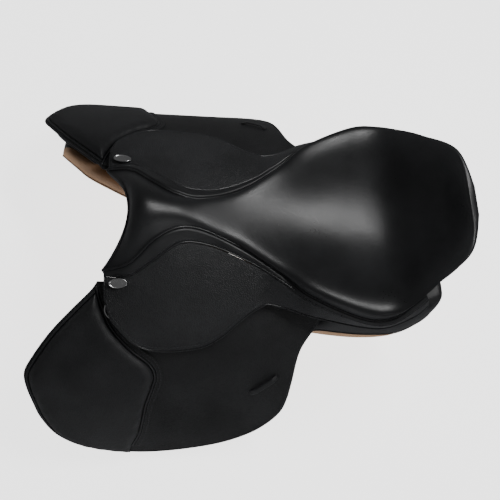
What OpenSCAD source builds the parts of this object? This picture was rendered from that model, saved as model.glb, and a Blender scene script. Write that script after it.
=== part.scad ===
// English jumping saddle: sprung tree, webbed and foamed seat, flocked panels,
// skirts and flaps that lift, girth straps, stirrup bars and front D rings.
// Millimetres, +Z up, the pommel faces -Y and the rider's left is +X.
// The origin lies in the middle plane on the level where the panels bear.

/* [Leather] */
// Thickness of the flaps and of the skirts
flap_t = 3.5; // [3:0.1:4]
// Thickness of the seat leather
cover_t = 2; // [1.5:0.1:2.2]
// Thickness of the flaps that lie under the girth straps
sweat_t = 3; // [2.5:0.1:3.4]
// Radius of the piping round the seat
welt_r = 1.5; // [1.2:0.1:1.6]

/* [Seat] */
// How far the padded rim reaches over the seam before it rounds down to it
rim_rise = 40; // [34:1:44]
// Depth of foam over the seat webs
foam_depth = 13.4; // [13.2:0.1:13.5]

/* [Tree] */
// Thickness of the laminated rails
rail_t = 9; // [8:0.5:9]
// Thickness of the spring steel under each rail
spring_t = 1.6; // [1.2:0.1:1.8]
// Depth of the wooden head from front to back
head_d = 24; // [20:1:24]

/* [Girth straps] */
// Width of each girth strap
billet_w = 25; // [22:1:26]
// Thickness of each girth strap
billet_t = 4; // [3.5:0.1:4.2]
// Radius of the buckle holes
hole_r = 2.5; // [2:0.1:3]
// Number of buckle holes in each strap
holes = 8; // [4:1:8]

/* [Hardware] */
// Width of the stirrup bar's arm
bar_w = 9; // [8:0.5:10]
// Radius of the wire of the D rings
ring_wire_r = 1.5; // [1.2:0.1:1.6]
// Radius to the middle of the wire of the D rings
ring_r = 11.5; // [10:0.5:12]

/* [Hidden] */

black = [0.07, 0.07, 0.08];
dark = [0.13, 0.13, 0.14];
tan_hide = [0.45, 0.27, 0.14];
beech = [0.72, 0.55, 0.36];
webbing = [0.85, 0.83, 0.76];
steel = [0.7, 0.72, 0.74];
foam = [0.9, 0.88, 0.7];

// The side leathers all wrap one barrel whose axis runs along Y.
barrel_x = -34;
barrel_z = -215;
flap_r = 324;
tree_r = 318;
strap_r = 310;
sweat_r = 302;
panel_r = 298.5;

// The two lines at which the flap and the skirt bend when they lift.
flap_fold_x = 157;
skirt_fold_x = 101;
fold_gap = 0.6;
// The skirt's lower part wraps a smaller barrel, which leaves room for the stirrup bar.
skirt_x = -12.3;
skirt_z = -128.9;
skirt_r = 250;

// Seam of the seat (left side) and middle line of the seat, from pommel to cantle.
SEAM = [[66, -233, 103], [61, -203, 117], [37, -175, 134], [22, -148, 136], [20, -118, 128],
    [37, -70, 115], [71, -19, 112.5], [100, 17, 118], [126, 77, 119.5], [126.5, 111, 125],
    [111, 135, 144], [96.5, 152, 167], [69, 184, 182], [19, 204, 187]];
MIDDLE = [[0, -204, 134], [0, -199, 150], [0, -184, 155.2], [0, -150, 146], [0, -120, 135.5],
    [0, -74, 122], [0, -26, 111.5], [0, 20, 104.5], [0, 72, 101.5], [0, 124, 106],
    [0, 155, 129], [0, 178, 161], [0, 194, 198], [0, 206, 187]];
// How strongly the padded rim stands up at each station.
RIM = [0, 0, 0, 0, 0.1, 0.2, 0.4, 0.75, 1, 1, 1, 0.6, 0.65, 0.25];
// Second seam, between the smooth band and the skirt, and the station of SEAM that each point faces.
BAND = [[71, -231, 101], [73, -205, 106], [60, -180, 115], [46, -159, 124], [37, -142, 126],
    [35, -122, 122], [40, -93, 115], [57, -53, 110.5], [79, -19, 112], [104.5, 16, 113.5],
    [130, 76, 114.5], [132, 112, 118], [117, 140, 137], [110, 148, 150]];
BAND_AT = [0, 0.93, 1.82, 2.6, 3.2, 3.87, 4.52, 5.33, 6, 7, 8, 9, 10, 10.5];
// Lower edge of the part of the skirt that stays with the seat.
SKIRT_EDGE = [[100.2, -230, 94.3], [100.2, -205, 94.3], [100.2, -180, 94.3], [100.2, -159, 94.3],
    [100.2, -142, 94.3], [100.2, -122, 94.3], [100.2, -93, 94.3], [100.6, -50, 94],
    [105, -17, 91.5], [118.5, 19, 97], [132, 79, 100.5], [133, 112, 103], [123, 142, 119],
    [114, 153, 136]];

// Plan outlines on the left side.
SKIRT_LOBE = [[skirt_fold_x, -229], [120, -222], [141, -201], [151, -180], [153, -158], [152, -135],
    [148, -110], [137, -88], [121, -68], [110, -52], [103, -38]];
FLAP_LINE = [[75, -240], [86, -248], [107, -270], [131, -294], [157, -315], [173, -325],
    [188, -324], [206, -317], [222, -309], [240, -292], [252, -265], [259, -225], [262, -180],
    [260, -130], [254, -80], [244, -42], [232, -18], [219, -3], [205, 3], [189, 6], [152, 13],
    [122, 33], [104, 44]];
SWEAT_LINE = [[100, -252], [118, -270], [140, -291], [160, -306], [173, -311], [190, -306],
    [205, -298], [217, -282], [225, -257], [230, -225], [232, -180], [229, -130], [222, -85],
    [211, -52], [196, -34], [182, -27], [146, -18], [116, 0], [95, 8]];
KNEE_SEAM = [[80, -243], [100, -237], [127, -224], [151, -200], [166, -178], [178, -171],
    [190, -174], [208, -181], [226, -185], [240, -189], [252, -197]];
BLOCK_LINE = [[152, -280], [172, -297], [194, -294], [211, -279], [219, -253], [212, -236],
    [194, -232], [172, -243], [155, -260]];
BILLET_Y = [-156, -117, -78];
BAR_RIVET_Y = [-156, -104];
bar_x = 88.5;
bar_front = -169.5;
catch_y = -90;
rivet_r = 2.5;
fit = 0.05;
big = 700;

function mix(a, b, u) = a + (b - a) * u;
function ease(u) = let (v = min(1, max(0, u))) v * v * (3 - 2 * v);
function spline(p, s) = let (n = len(p), i = min(n - 2, floor(s)), u = s - i,
    a = p[max(0, i - 1)], b = p[i], c = p[i + 1], d = p[min(n - 1, i + 2)])
    0.5 * (2 * b + (c - a) * u + (2 * a - 5 * b + 4 * c - d) * u * u
    + (3 * b - 3 * c + d - a) * u * u * u);
function smooth(p, steps) = [for (i = [0 : (len(p) - 1) * steps]) spline(p, i / steps)];
function closed(p, steps) = let (n = len(p), q = concat([p[n - 1]], p, [p[0], p[1]]))
    [for (i = [0 : n * steps - 1]) spline(q, 1 + i / steps)];
function on_barrel(x, r) = barrel_z + sqrt(r * r - (x - barrel_x) * (x - barrel_x));
function outward(p, q) = let (d = q - p) [d[1], -d[0], 0] / norm([d[0], d[1], 0]);
// Unit directions that point away from the seat, square to its seam in plan.
function seam_out(c) = [for (i = [0 : len(c) - 1])
    outward(c[max(0, i - 1)], c[min(len(c) - 1, i + 1)])];

module sided(side) {
    if (side > 0) children();
    else mirror([1, 0, 0]) children();
}

// Closed solid between two grids of points, rows along +Y and columns along +X.
module slab(top, low) {
    n = len(top);
    m = len(top[0]);
    b = n * m;
    function at(i, j) = i * m + j;
    polyhedron(
        points = concat([for (r = top) for (p = r) p], [for (r = low) for (p = r) p]),
        faces = concat(
            [for (i = [0 : n - 2]) for (j = [0 : m - 2]) each [
                [at(i, j), at(i + 1, j), at(i + 1, j + 1)],
                [at(i, j), at(i + 1, j + 1), at(i, j + 1)],
                [b + at(i, j), b + at(i + 1, j + 1), b + at(i + 1, j)],
                [b + at(i, j), b + at(i, j + 1), b + at(i + 1, j + 1)]]],
            [for (i = [0 : n - 2]) each [
                [at(i, 0), b + at(i, 0), b + at(i + 1, 0)],
                [at(i, 0), b + at(i + 1, 0), at(i + 1, 0)],
                [at(i, m - 1), b + at(i + 1, m - 1), b + at(i, m - 1)],
                [at(i, m - 1), at(i + 1, m - 1), b + at(i + 1, m - 1)]]],
            [for (j = [0 : m - 2]) each [
                [at(0, j), b + at(0, j + 1), b + at(0, j)],
                [at(0, j), at(0, j + 1), b + at(0, j + 1)],
                [at(n - 1, j), b + at(n - 1, j), b + at(n - 1, j + 1)],
                [at(n - 1, j), b + at(n - 1, j + 1), at(n - 1, j + 1)]]]));
}

function lowered(grid, t) = [for (r = grid) [for (p = r) p - [0, 0, t]]];

// Curved sheet of the barrel, cut to a plan outline.
module wrap(r, t, x = barrel_x, z = barrel_z) {
    intersection() {
        translate([x, 0, z]) rotate([90, 0, 0]) difference() {
            cylinder(r = r, h = 2 * big, center = true, $fn = 180);
            cylinder(r = r - t, h = 2 * big + 2, center = true, $fn = 180);
        }
        translate([0, 0, -130]) linear_extrude(big) children();
    }
}

// Puts children on the barrel: local Z points outwards and local X down the slope.
module on_wrap(x, y, r) {
    tilt = asin((x - barrel_x) / r);
    translate([x, y, barrel_z + r * cos(tilt)]) rotate([0, tilt, 0]) children();
}

module plan(x0, x1, y0, y1) {
    translate([x0, y0]) square([x1 - x0, y1 - y0]);
}

// ---- tree ----

// Both halves of an outline given for the side where x is positive, in order.
function both_sides(half) = concat(half,
    [for (i = [len(half) - 1 : -1 : 0]) if (half[i][0] > 0) [-half[i][0], half[i][1]]]);

function backwards(p) = [for (i = [len(p) - 1 : -1 : 0]) p[i]];

module arch(inset) {
    outer = [[62, 92], [48, 108], [28, 121], [0, 127]];
    inner = [[50, 84], [38, 97], [20, 108], [0, 112]];
    top = [for (p = outer) p - [sign(p[0]) * inset, inset]];
    low = [for (p = inner) p + [-sign(p[0]) * inset, inset]];
    polygon(concat(both_sides(top), backwards(both_sides(low))));
}

module rivet_places() {
    for (p = [[-41, 105], [-16, 116.5], [16, 116.5], [41, 105]]) {
        translate([p[0], 0, p[1]]) rotate([90, 0, 0]) children();
    }
}

head_y = -186;

module tree_head() {
    color(beech) difference() {
        union() {
            translate([0, head_y + head_d / 2, 0]) rotate([90, 0, 0]) linear_extrude(head_d) arch(0);
            for (s = [1, -1]) {
                sided(s) wrap(tree_r, rail_t)
                    polygon([[47, -197], [70, -184], [92, -196], [112, -206], [130, -214], [130, -232],
                        [108, -236], [86, -232], [68, -218], [63, -203], [61.5, -197]]);
            }
        }
        rivet_places() cylinder(r = rivet_r, h = big, center = true, $fn = 32);
    }
}

module plate_on_head(y) {
    color(dark) difference() {
        translate([0, y, 0]) rotate([90, 0, 0]) linear_extrude(3, center = true) arch(1.5);
        rivet_places() cylinder(r = rivet_r, h = big, center = true, $fn = 32);
    }
}

module head_plate() { plate_on_head(head_y - head_d / 2 - 1.6); }

module gullet_plate() { plate_on_head(head_y + head_d / 2 + 1.6); }

module head_rivets() {
    color(steel) translate([0, head_y, 0]) rivet_places() {
        cylinder(r = rivet_r - fit, h = head_d + 6.6, center = true, $fn = 32);
        for (s = [1, -1]) {
            translate([0, 0, s * (head_d / 2 + 4)]) cylinder(r = 4.2, h = 1.4, center = true, $fn = 32);
        }
    }
}

module rail_outline(inset) {
    route = smooth([[57, -170], [56, -120], [62, -60], [74, 0], [83, 55], [84, 105], [77, 140], [68, 158]], 4);
    out = seam_out([for (p = route) [p[0], p[1], 0]]);
    half_w = 13 - inset;
    polygon(concat([for (i = [0 : len(route) - 1]) route[i] + half_w * [out[i][0], out[i][1]]],
        [for (i = [len(route) - 1 : -1 : 0]) route[i] - half_w * [out[i][0], out[i][1]]]));
}

module bar_rivet_holes() {
    for (y = BAR_RIVET_Y) {
        on_wrap(61, y, tree_r) cylinder(r = rivet_r, h = 60, center = true, $fn = 32);
    }
}

module rail(side) {
    color(beech) sided(side) difference() {
        wrap(tree_r, rail_t) rail_outline(0);
        bar_rivet_holes();
    }
}

module spring(side) {
    color(steel) sided(side) difference() {
        wrap(tree_r - rail_t - 0.3, spring_t) rail_outline(4);
        bar_rivet_holes();
    }
}

cantle_y = 86;

module cantle_turn(span) {
    translate([0, cantle_y, 0]) rotate([0, 0, 90 - span]) rotate_extrude(angle = 2 * span, $fn = 160)
        children();
}

// Everything below an arch given by its heights on the left side, outer end first.
module below_arch(heights) {
    rotate([90, 0, 0]) linear_extrude(2 * big, center = true)
        polygon(concat([[120, 0]], both_sides(heights), [[-120, 0]]));
}

module cantle_board() {
    color(beech) intersection() {
        cantle_turn(62) polygon([[88, 90], [97, 90], [110, 162], [103, 162]]);
        below_arch([[120, 100], [96, 112], [84, 124], [66, 142], [40, 155], [0, 160]]);
    }
}

module cantle_facing() {
    color(black) intersection() {
        cantle_turn(60) polygon([[101.5, 92], [103.5, 92], [114.5, 150], [117, 186], [115, 186],
            [112.5, 150]]);
        below_arch([[120, 118], [108, 141], [94, 159.5], [66, 175], [40, 180], [0, 181]]);
    }
}

// ---- seat ----

seam_line = smooth(SEAM, 3);
middle_line = smooth(MIDDLE, 3);
seam_dir = seam_out(seam_line);
rim_line = [for (i = [0 : len(seam_line) - 1]) spline([for (r = RIM) [r]], i / 3)[0]];
seat_cols = 9;
rim_bulge = 6;

// One point of the seat's surface at station i, a share u of the way out to the seam.
function seat_point(i, u, inset, drop) = let (m = middle_line[i], v = abs(u), k = rim_line[i],
    e = seam_line[i] - inset * seam_dir[i] + rim_bulge * k * sin(180 * pow(v, 8)) * seam_dir[i],
    crown = mix(m[2], e[2] + rim_rise * k, v * v),
    z = e[2] + (crown - e[2]) * sqrt(1 - pow(v, 6) * 0.999))
    [sign(u) * v * e[0], mix(m[1], e[1], v * v), z - drop];
function seat_grid(inset, drop) = [for (i = [0 : len(seam_line) - 1])
    [for (j = [-seat_cols : seat_cols]) seat_point(i, sin(90 * j / seat_cols), inset, drop)]];

module seat_cover() {
    color(black) slab(seat_grid(welt_r + 0.7, 0), seat_grid(welt_r + 0.7 + cover_t, cover_t));
}

// Height of the top of the tree's head at a distance x from the middle.
function head_top(x) = x < 28 ? mix(127, 121, x / 28) : x < 48 ? mix(121, 108, (x - 28) / 20) : 100;

module seat_foam() {
    top = [for (i = [0 : len(seam_line) - 1]) let (rear = ease((i - 18) / 10))
        [for (j = [-seat_cols : seat_cols])
            seat_point(i, sin(90 * j / seat_cols), welt_r + cover_t + 1.7, cover_t + mix(0.5, 2.2, rear))]];
    low = [for (i = [0 : len(top) - 1]) let (m = middle_line[i][2] - foam_depth) [for (p = top[i])
        let (a = abs(p[0]), z = mix(m, max(m, 95), ease((a - 45) / 30)))
        [p[0], p[1], min(p[2] - (p[1] < 0 ? 1.2 : 2.4), p[1] < -160 ? max(z, head_top(a) + 1) : z)]]];
    color(foam) difference() {
        slab(top, low);
        cantle_turn(62) polygon([[99, 80], [110, 150], [112, 186], [113, 210], [150, 210], [150, 80]]);
        intersection() {
            cantle_turn(66) polygon([[84.5, 80], [97.2, 80], [112.5, 165], [100.5, 165]]);
            below_arch([[122, 102], [98, 114], [86, 126], [68, 144], [42, 157], [0, 162.5]]);
        }
    }
}

// Round piping swept along the seam.
module seat_welt(side) {
    sides = 8;
    rings = [for (i = [0 : len(seam_line) - 1]) [for (k = [0 : sides - 1])
        seam_line[i] + welt_r * (cos(k * 360 / sides) * seam_dir[i] + sin(k * 360 / sides) * [0, 0, 1])]];
    last = (len(rings) - 1) * sides;
    color(dark) sided(side) polyhedron(
        points = [for (r = rings) for (p = r) p],
        faces = concat(
            [for (i = [0 : len(rings) - 2]) for (k = [0 : sides - 1]) let (q = (k + 1) % sides) each [
                [i * sides + k, (i + 1) * sides + q, i * sides + q],
                [i * sides + k, (i + 1) * sides + k, (i + 1) * sides + q]]],
            [[for (k = [0 : sides - 1]) k]],
            [[for (k = [sides - 1 : -1 : 0]) last + k]]));
}

web_drop = 16.3;
web_level = 85.2;
// The cross webs lie just above the long web and on the rails.
cross_level = 86.9;

module seat_web_long() {
    top = [for (i = [4 : len(middle_line) - 7]) let (m = middle_line[i], z = m[2] - web_drop,
        level = m[1] < -150 ? min(z, 131.5) : m[1] > 10 && m[1] < 135 ? min(z, web_level) : z)
        [for (x = [-25, -8, 8, 25]) [x, m[1], level]]];
    color(webbing) slab(top, lowered(top, 1.6));
}

module seat_webs_cross() {
    color(webbing) for (y = [28, 78]) {
        translate([-68, y, cross_level]) cube([136, 44, 1]);
    }
}

// ---- skirts ----

steps_side = 3;
band_line = smooth(BAND, steps_side);
edge_line = smooth(SKIRT_EDGE, steps_side);
seam_part = [for (i = [0 : len(band_line) - 1]) let (k = min(len(BAND) - 2, floor(i / steps_side)))
    spline(SEAM, mix(BAND_AT[k], BAND_AT[k + 1], i / steps_side - k))];
seam_part_dir = seam_out(seam_part);

// The same sheet moved down and, away from its sewn edge, inwards by t / sqrt(2) each.
function backed(grid, t) = [for (i = [0 : len(grid) - 1]) [for (j = [0 : len(grid[i]) - 1])
    grid[i][j] - 0.707 * t * (min(1, j / 2) * seam_part_dir[i] + [0, 0, 1])]];

module skirt_band(side) {
    top = [for (i = [0 : len(band_line) - 1])
        let (a = seam_part[i] + (welt_r + 0.8) * seam_part_dir[i], b = band_line[i] - 0.4 * seam_part_dir[i])
        [a, mix(a, b, 0.5) + [0, 0, 1.2], b]];
    color(black) sided(side) slab(top, lowered(top, 2.4));
}

module skirt_upper(side) {
    top = [for (i = [0 : len(band_line) - 1]) let (a = band_line[i] + 0.4 * seam_part_dir[i], b = edge_line[i])
        [for (u = [0 : 0.2 : 1]) mix(a, b, u) + [0, 0, 8 * u * (1 - u)]]];
    color(black) sided(side) slab(top, backed(top, flap_t));
}

module skirt(side) {
    color(black) sided(side) wrap(skirt_r, flap_t, skirt_x, skirt_z) polygon(smooth(SKIRT_LOBE, 5));
}

module badge(side) {
    color(steel) sided(side) translate([82, -215, 105]) rotate([0, 20, 4])
        linear_extrude(1.6) polygon([for (a = [0 : 10 : 350]) [6 * cos(a), 11 * sin(a)]]);
}

// ---- flaps ----

module lifted_part(from_x) {
    intersection() {
        polygon(smooth(FLAP_LINE, 4));
        plan(from_x, big, -big, big);
    }
}

module upper_part(to_x) {
    intersection() {
        union() {
            polygon(smooth(FLAP_LINE, 4));
            polygon([[75, -240], [104, -262], [130, 20], [104, 44], [75, 44]]);
        }
        plan(0, to_x, -big, big);
    }
}

module flap(side) {
    color(black) sided(side) wrap(flap_r, flap_t) lifted_part(flap_fold_x + fold_gap);
}

module flap_upper(side) {
    color(black) sided(side) wrap(flap_r, flap_t) difference() {
        upper_part(flap_fold_x - fold_gap);
        plan(0, 102, -184, -68);
    }
}

pad_gap = 10;
pad_t = 9;

module knee_outline() {
    intersection() {
        translate([3, 5]) polygon(smooth(FLAP_LINE, 4));
        translate([0, -5]) polygon(smooth(FLAP_LINE, 4));
        polygon(concat(smooth(KNEE_SEAM, 4), [[252, -340], [80, -340]]));
    }
}

module knee_pad(side) {
    color(black) sided(side) wrap(flap_r + 0.4 + pad_t, pad_t) intersection() {
        knee_outline();
        plan(flap_fold_x + pad_gap, 250, -big, big);
    }
}

module knee_pad_top(side) {
    color(black) sided(side) wrap(flap_r + 0.4 + pad_t, pad_t) intersection() {
        knee_outline();
        plan(100, flap_fold_x - pad_gap, -big, -229);
    }
}

module keeper(side) {
    color(black) sided(side) {
        wrap(flap_r + 5, 2.2) translate([188.5, -30.5]) rotate(119) square([38, 7], center = true);
        wrap(flap_r + 5, 4.7) translate([188.5, -30.5]) rotate(119) {
            for (s = [1, -1]) translate([17 * s, 0]) square([4, 7], center = true);
        }
    }
}

module sweat_flap(side) {
    color(black) sided(side) wrap(sweat_r, sweat_t) polygon(smooth(SWEAT_LINE, 4));
}

module knee_block(side) {
    color(dark) sided(side) wrap(flap_r - flap_t - 1, flap_r - flap_t - 1 - sweat_r - 0.4)
        polygon(closed(BLOCK_LINE, 3));
}

module point_pocket(side) {
    color(dark) sided(side) {
        wrap(flap_r - flap_t - 0.3, 1.6) plan(110, 137, -242, -204);
        wrap(flap_r - flap_t - 0.3, flap_r - flap_t - 0.8 - sweat_r) plan(133, 137, -242, -204);
    }
}

// ---- girth straps ----

module billet_webs(side) {
    color(webbing) sided(side) wrap(strap_r - billet_t - 0.4, 1.4) {
        for (y = BILLET_Y) plan(76, 114, y - billet_w / 2, y + billet_w / 2);
    }
}

billet_tip_x = 243;
first_hole = 36;
hole_turn = 3.5;

module billets(side) {
    tip = billet_w / 2;
    color(black) sided(side) difference() {
        wrap(strap_r, billet_t) for (y = BILLET_Y) {
            plan(104, billet_tip_x - 9, y - tip, y + tip);
            polygon([[billet_tip_x - 9.1, y - tip], [billet_tip_x, y - tip / 3],
                [billet_tip_x, y + tip / 3], [billet_tip_x - 9.1, y + tip]]);
        }
        for (y = BILLET_Y) for (k = [0 : holes - 1]) {
            translate([barrel_x, y, barrel_z]) rotate([0, first_hole + k * hole_turn, 0])
                translate([0, 0, strap_r - 10]) cylinder(r = hole_r, h = 20, $fn = 32);
        }
    }
}

module buckle_guard(side) {
    low = 155;
    high = 186;
    edge = billet_w / 2 + 1.2;
    color(black) sided(side) {
        wrap(strap_r + 3, 2.2) plan(low, high, BILLET_Y[0] - edge - 2.5, BILLET_Y[2] + edge + 2.5);
        wrap(strap_r - billet_t - 0.6, 1.6)
            plan(low, high, BILLET_Y[0] - edge - 2.5, BILLET_Y[2] + edge + 2.5);
        wrap(strap_r + 3, billet_t + 5.2) {
            for (i = [0 : 2]) {
                plan(low, high, BILLET_Y[i] - edge - 2.5, BILLET_Y[i] - edge);
                plan(low, high, BILLET_Y[i] + edge, BILLET_Y[i] + edge + 2.5);
            }
        }
    }
}

// ---- panels ----

// Rows of the panel: y, inner x, outer x, share of the full depth.
PANEL = [[-300, 130, 158, 0.45], [-288, 117, 164, 0.62], [-268, 98, 167, 0.72], [-240, 79, 168, 0.76],
    [-205, 58, 168, 0.8], [-160, 39, 162, 0.92], [-100, 32, 150, 1], [-40, 31, 130, 1], [10, 31, 120, 1],
    [60, 32, 126, 1], [100, 33, 129, 1], [140, 36, 127, 0.97], [170, 42, 115, 0.9], [190, 52, 102, 0.78],
    [203, 66, 86, 0.5]];

// Height of the panel's top behind the seat's widest part, where it also rises behind the cantle.
function rear_top(x, y) = mix(mix(60, 78, ease((x - 99) / 14)), 92, ease((x - 112) / 12))
    + (y > 140 ? ease((y - 140) / 40) * 30 * ease((norm([x, y - cantle_y]) - 104) / 16) : 0);
function panel_top(x, y) = mix(on_barrel(x, mix(292, panel_r, ease((x - 96) / 9))),
    rear_top(x, y), ease((y - 22) / 40));
function panel_low(x, y) = mix(on_barrel(x, 292) - mix(60, 30, ease((x - 80) / 80)),
    3 - 0.25 * (x - 35) + 20 * ease((y - 100) / 130), ease((y + 60) / 120));

module panel(side) {
    rows = smooth(PANEL, 2);
    cols = 12;
    grid = [for (r = rows) [for (j = [0 : cols]) let (u = 0.5 - 0.5 * cos(180 * j / cols),
        x = mix(r[1], r[2], u), round_off = sqrt(1 - 0.97 * pow(abs(2 * u - 1), 4)),
        a = panel_top(x, r[0]), b = panel_low(x, r[0]), c = mix(b, a, mix(0.62, 0.8, ease(r[0] / 60))))
        [[x, r[0], mix(c, a, round_off)], [x, r[0], mix(c, mix(a, b, r[3]), round_off)]]]];
    color(tan_hide) sided(side) slab([for (r = grid) [for (p = r) p[0]]], [for (r = grid) [for (p = r) p[1]]]);
}

module gullet_lining() {
    color(tan_hide) translate([-29, -168, 70.2]) cube([58, 355, 1.2]);
}

// ---- metal fittings ----

module stirrup_bar(side) {
    plate_r = tree_r + 4.3;
    color(steel) sided(side) difference() {
        union() {
            wrap(plate_r, 4) plan(50, 73.5, bar_front, -88);
            wrap(plate_r, 4) plan(73, bar_x + bar_w / 2, bar_front, -159);
            wrap(plate_r + 0.7, 6) plan(bar_x - bar_w / 2, bar_x + bar_w / 2, bar_front, catch_y - 4);
            for (s = [1, -1]) {
                on_wrap(bar_x, catch_y, tree_r + 2) translate([s * 3.4, -3, 0])
                    cube([2.2, 12, 6], center = true);
            }
        }
        bar_rivet_holes();
        on_wrap(bar_x, catch_y, tree_r + 2) rotate([0, 90, 0])
            cylinder(r = 1, h = 40, center = true, $fn = 24);
    }
}

module catch_place() {
    on_wrap(bar_x, catch_y, tree_r + 2) children();
}

module bar_catch(side) {
    color(steel) sided(side) catch_place() difference() {
        union() {
            rotate([0, 90, 0]) cylinder(r = 2.6, h = 4.2, center = true, $fn = 32);
            translate([-2.1, 0, -2.6]) cube([4.2, 9, 3.2]);
            translate([-4.2, 8.6, -2.6]) cube([8.4, 5, 3.2]);
        }
        rotate([0, 90, 0]) cylinder(r = 1 + fit, h = 10, center = true, $fn = 24);
    }
}

module catch_pins() {
    color(steel) for (s = [1, -1]) {
        sided(s) catch_place() rotate([0, 90, 0]) cylinder(r = 1 - fit, h = 9, center = true, $fn = 24);
    }
}

module bar_rivets() {
    color(steel) for (s = [1, -1]) {
        sided(s) for (y = BAR_RIVET_Y) {
            on_wrap(61, y, tree_r) {
                translate([0, 0, -12]) cylinder(r = rivet_r - fit, h = 17, $fn = 32);
                translate([0, 0, 4.5]) cylinder(r = 4.5, h = 1.5, $fn = 32);
                translate([0, 0, -13]) cylinder(r = 4.5, h = 1.4, $fn = 32);
            }
        }
    }
}

ring_x = 107;
ring_y = -218.5;
ring_seat_r = flap_r + 3.6;

module d_ring(side) {
    color(steel) sided(side) on_wrap(ring_x, ring_y, ring_seat_r) {
        rotate([0, 90, 0]) cylinder(r = ring_wire_r, h = 2 * ring_r, center = true, $fn = 32);
        rotate([0, 0, 180]) rotate_extrude(angle = 180, $fn = 96) translate([ring_r, 0]) circle(r = ring_wire_r, $fn = 32);
        for (s = [1, -1]) translate([s * ring_r, 0, 0]) sphere(r = ring_wire_r, $fn = 32);
    }
}

module d_clip(side) {
    loop_r = ring_wire_r + 1.6;
    color(steel) sided(side) on_wrap(ring_x, ring_y, ring_seat_r) difference() {
        union() {
            rotate([0, 90, 0]) cylinder(r = loop_r, h = 12, center = true, $fn = 32);
            translate([-6, 0, -loop_r]) cube([12, 15, 1.6]);
        }
        rotate([0, 90, 0]) cylinder(r = ring_wire_r + 0.1, h = 20, center = true, $fn = 32);
    }
}

tree_head();
head_plate();
gullet_plate();
head_rivets();
rail(1);  // rail_left
rail(-1);  // rail_right
spring(1);  // spring_left
spring(-1);  // spring_right
cantle_board();
seat_web_long();
seat_webs_cross();
seat_foam();
seat_cover();
seat_welt(1);  // seat_welt_left
seat_welt(-1);  // seat_welt_right
skirt_band(1);  // skirt_band_left
skirt_band(-1);  // skirt_band_right
skirt_upper(1);  // skirt_upper_left
skirt_upper(-1);  // skirt_upper_right
skirt(1);  // skirt_left
skirt(-1);  // skirt_right
badge(1);  // badge_left
badge(-1);  // badge_right
stirrup_bar(1);  // stirrup_bar_left
stirrup_bar(-1);  // stirrup_bar_right
bar_catch(1);  // bar_catch_left
bar_catch(-1);  // bar_catch_right
bar_rivets();
catch_pins();
flap_upper(1);  // flap_upper_left
flap_upper(-1);  // flap_upper_right
flap(1);  // flap_left
flap(-1);  // flap_right
knee_pad_top(1);  // knee_pad_top_left
knee_pad_top(-1);  // knee_pad_top_right
knee_pad(1);  // knee_pad_left
knee_pad(-1);  // knee_pad_right
keeper(1);  // keeper_left
keeper(-1);  // keeper_right
sweat_flap(1);  // sweat_flap_left
sweat_flap(-1);  // sweat_flap_right
knee_block(1);  // knee_block_left
knee_block(-1);  // knee_block_right
billet_webs(1);  // billet_webs_left
billet_webs(-1);  // billet_webs_right
billets(1);  // billets_left
billets(-1);  // billets_right
buckle_guard(1);  // buckle_guard_left
buckle_guard(-1);  // buckle_guard_right
panel(1);  // panel_left
panel(-1);  // panel_right
gullet_lining();
point_pocket(1);  // point_pocket_left
point_pocket(-1);  // point_pocket_right
d_ring(1);  // d_ring_left
d_ring(-1);  // d_ring_right
d_clip(1);  // d_clip_left
d_clip(-1);  // d_clip_right
cantle_facing();
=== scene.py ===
import math

import bpy
import numpy as np
from mathutils import Matrix, Vector
from mathutils.geometry import delaunay_2d_cdt


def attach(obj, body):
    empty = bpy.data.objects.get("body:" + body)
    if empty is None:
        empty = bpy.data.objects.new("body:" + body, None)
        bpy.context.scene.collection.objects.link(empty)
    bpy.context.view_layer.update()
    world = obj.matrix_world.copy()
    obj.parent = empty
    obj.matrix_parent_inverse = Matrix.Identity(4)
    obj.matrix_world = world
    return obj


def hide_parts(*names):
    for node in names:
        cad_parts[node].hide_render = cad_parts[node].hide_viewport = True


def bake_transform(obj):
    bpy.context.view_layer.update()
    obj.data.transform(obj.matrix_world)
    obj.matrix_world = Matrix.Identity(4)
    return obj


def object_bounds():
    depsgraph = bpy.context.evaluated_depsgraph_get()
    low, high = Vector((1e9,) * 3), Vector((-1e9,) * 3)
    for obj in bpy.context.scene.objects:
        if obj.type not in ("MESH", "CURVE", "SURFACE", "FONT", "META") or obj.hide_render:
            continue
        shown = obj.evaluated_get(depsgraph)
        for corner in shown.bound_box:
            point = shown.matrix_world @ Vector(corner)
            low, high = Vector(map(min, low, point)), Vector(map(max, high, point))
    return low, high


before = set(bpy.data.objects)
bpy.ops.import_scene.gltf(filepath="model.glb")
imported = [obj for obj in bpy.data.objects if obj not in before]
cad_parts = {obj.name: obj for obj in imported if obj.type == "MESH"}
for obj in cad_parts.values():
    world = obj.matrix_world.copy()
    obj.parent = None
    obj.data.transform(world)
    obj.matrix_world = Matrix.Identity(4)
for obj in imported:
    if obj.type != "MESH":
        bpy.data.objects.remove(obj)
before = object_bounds()
scene = bpy.context.scene
MM = 0.001

# ---- camera ----

LENS, SENSOR = 48.1, 36.0
AZIMUTH, ELEVATION, ROLL, DISTANCE = 66.0, 68.0, 23.706, 0.9312
LOOK_AT = (0, -0.040, 0.006)


def make_camera():
    data = bpy.data.cameras.new("camera")
    data.lens, data.sensor_width, data.clip_end = LENS, SENSOR, 20.0
    cam = bpy.data.objects.new("camera", data)
    scene.collection.objects.link(cam)
    az, el, roll = (math.radians(a) for a in (AZIMUTH, ELEVATION, ROLL))
    back = Vector((math.sin(az) * math.cos(el), -math.cos(az) * math.cos(el), math.sin(el)))
    right = (-back).cross(Vector((0, 0, 1))).normalized()
    up = right.cross(-back)
    r = right * math.cos(roll) + up * math.sin(roll)
    u = up * math.cos(roll) - right * math.sin(roll)
    m = Matrix((r, u, back)).transposed().to_4x4()
    m.translation = Vector(LOOK_AT) + back * DISTANCE
    cam.matrix_world = m
    scene.camera = cam


make_camera()


# ---- curves and meshes ----

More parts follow.
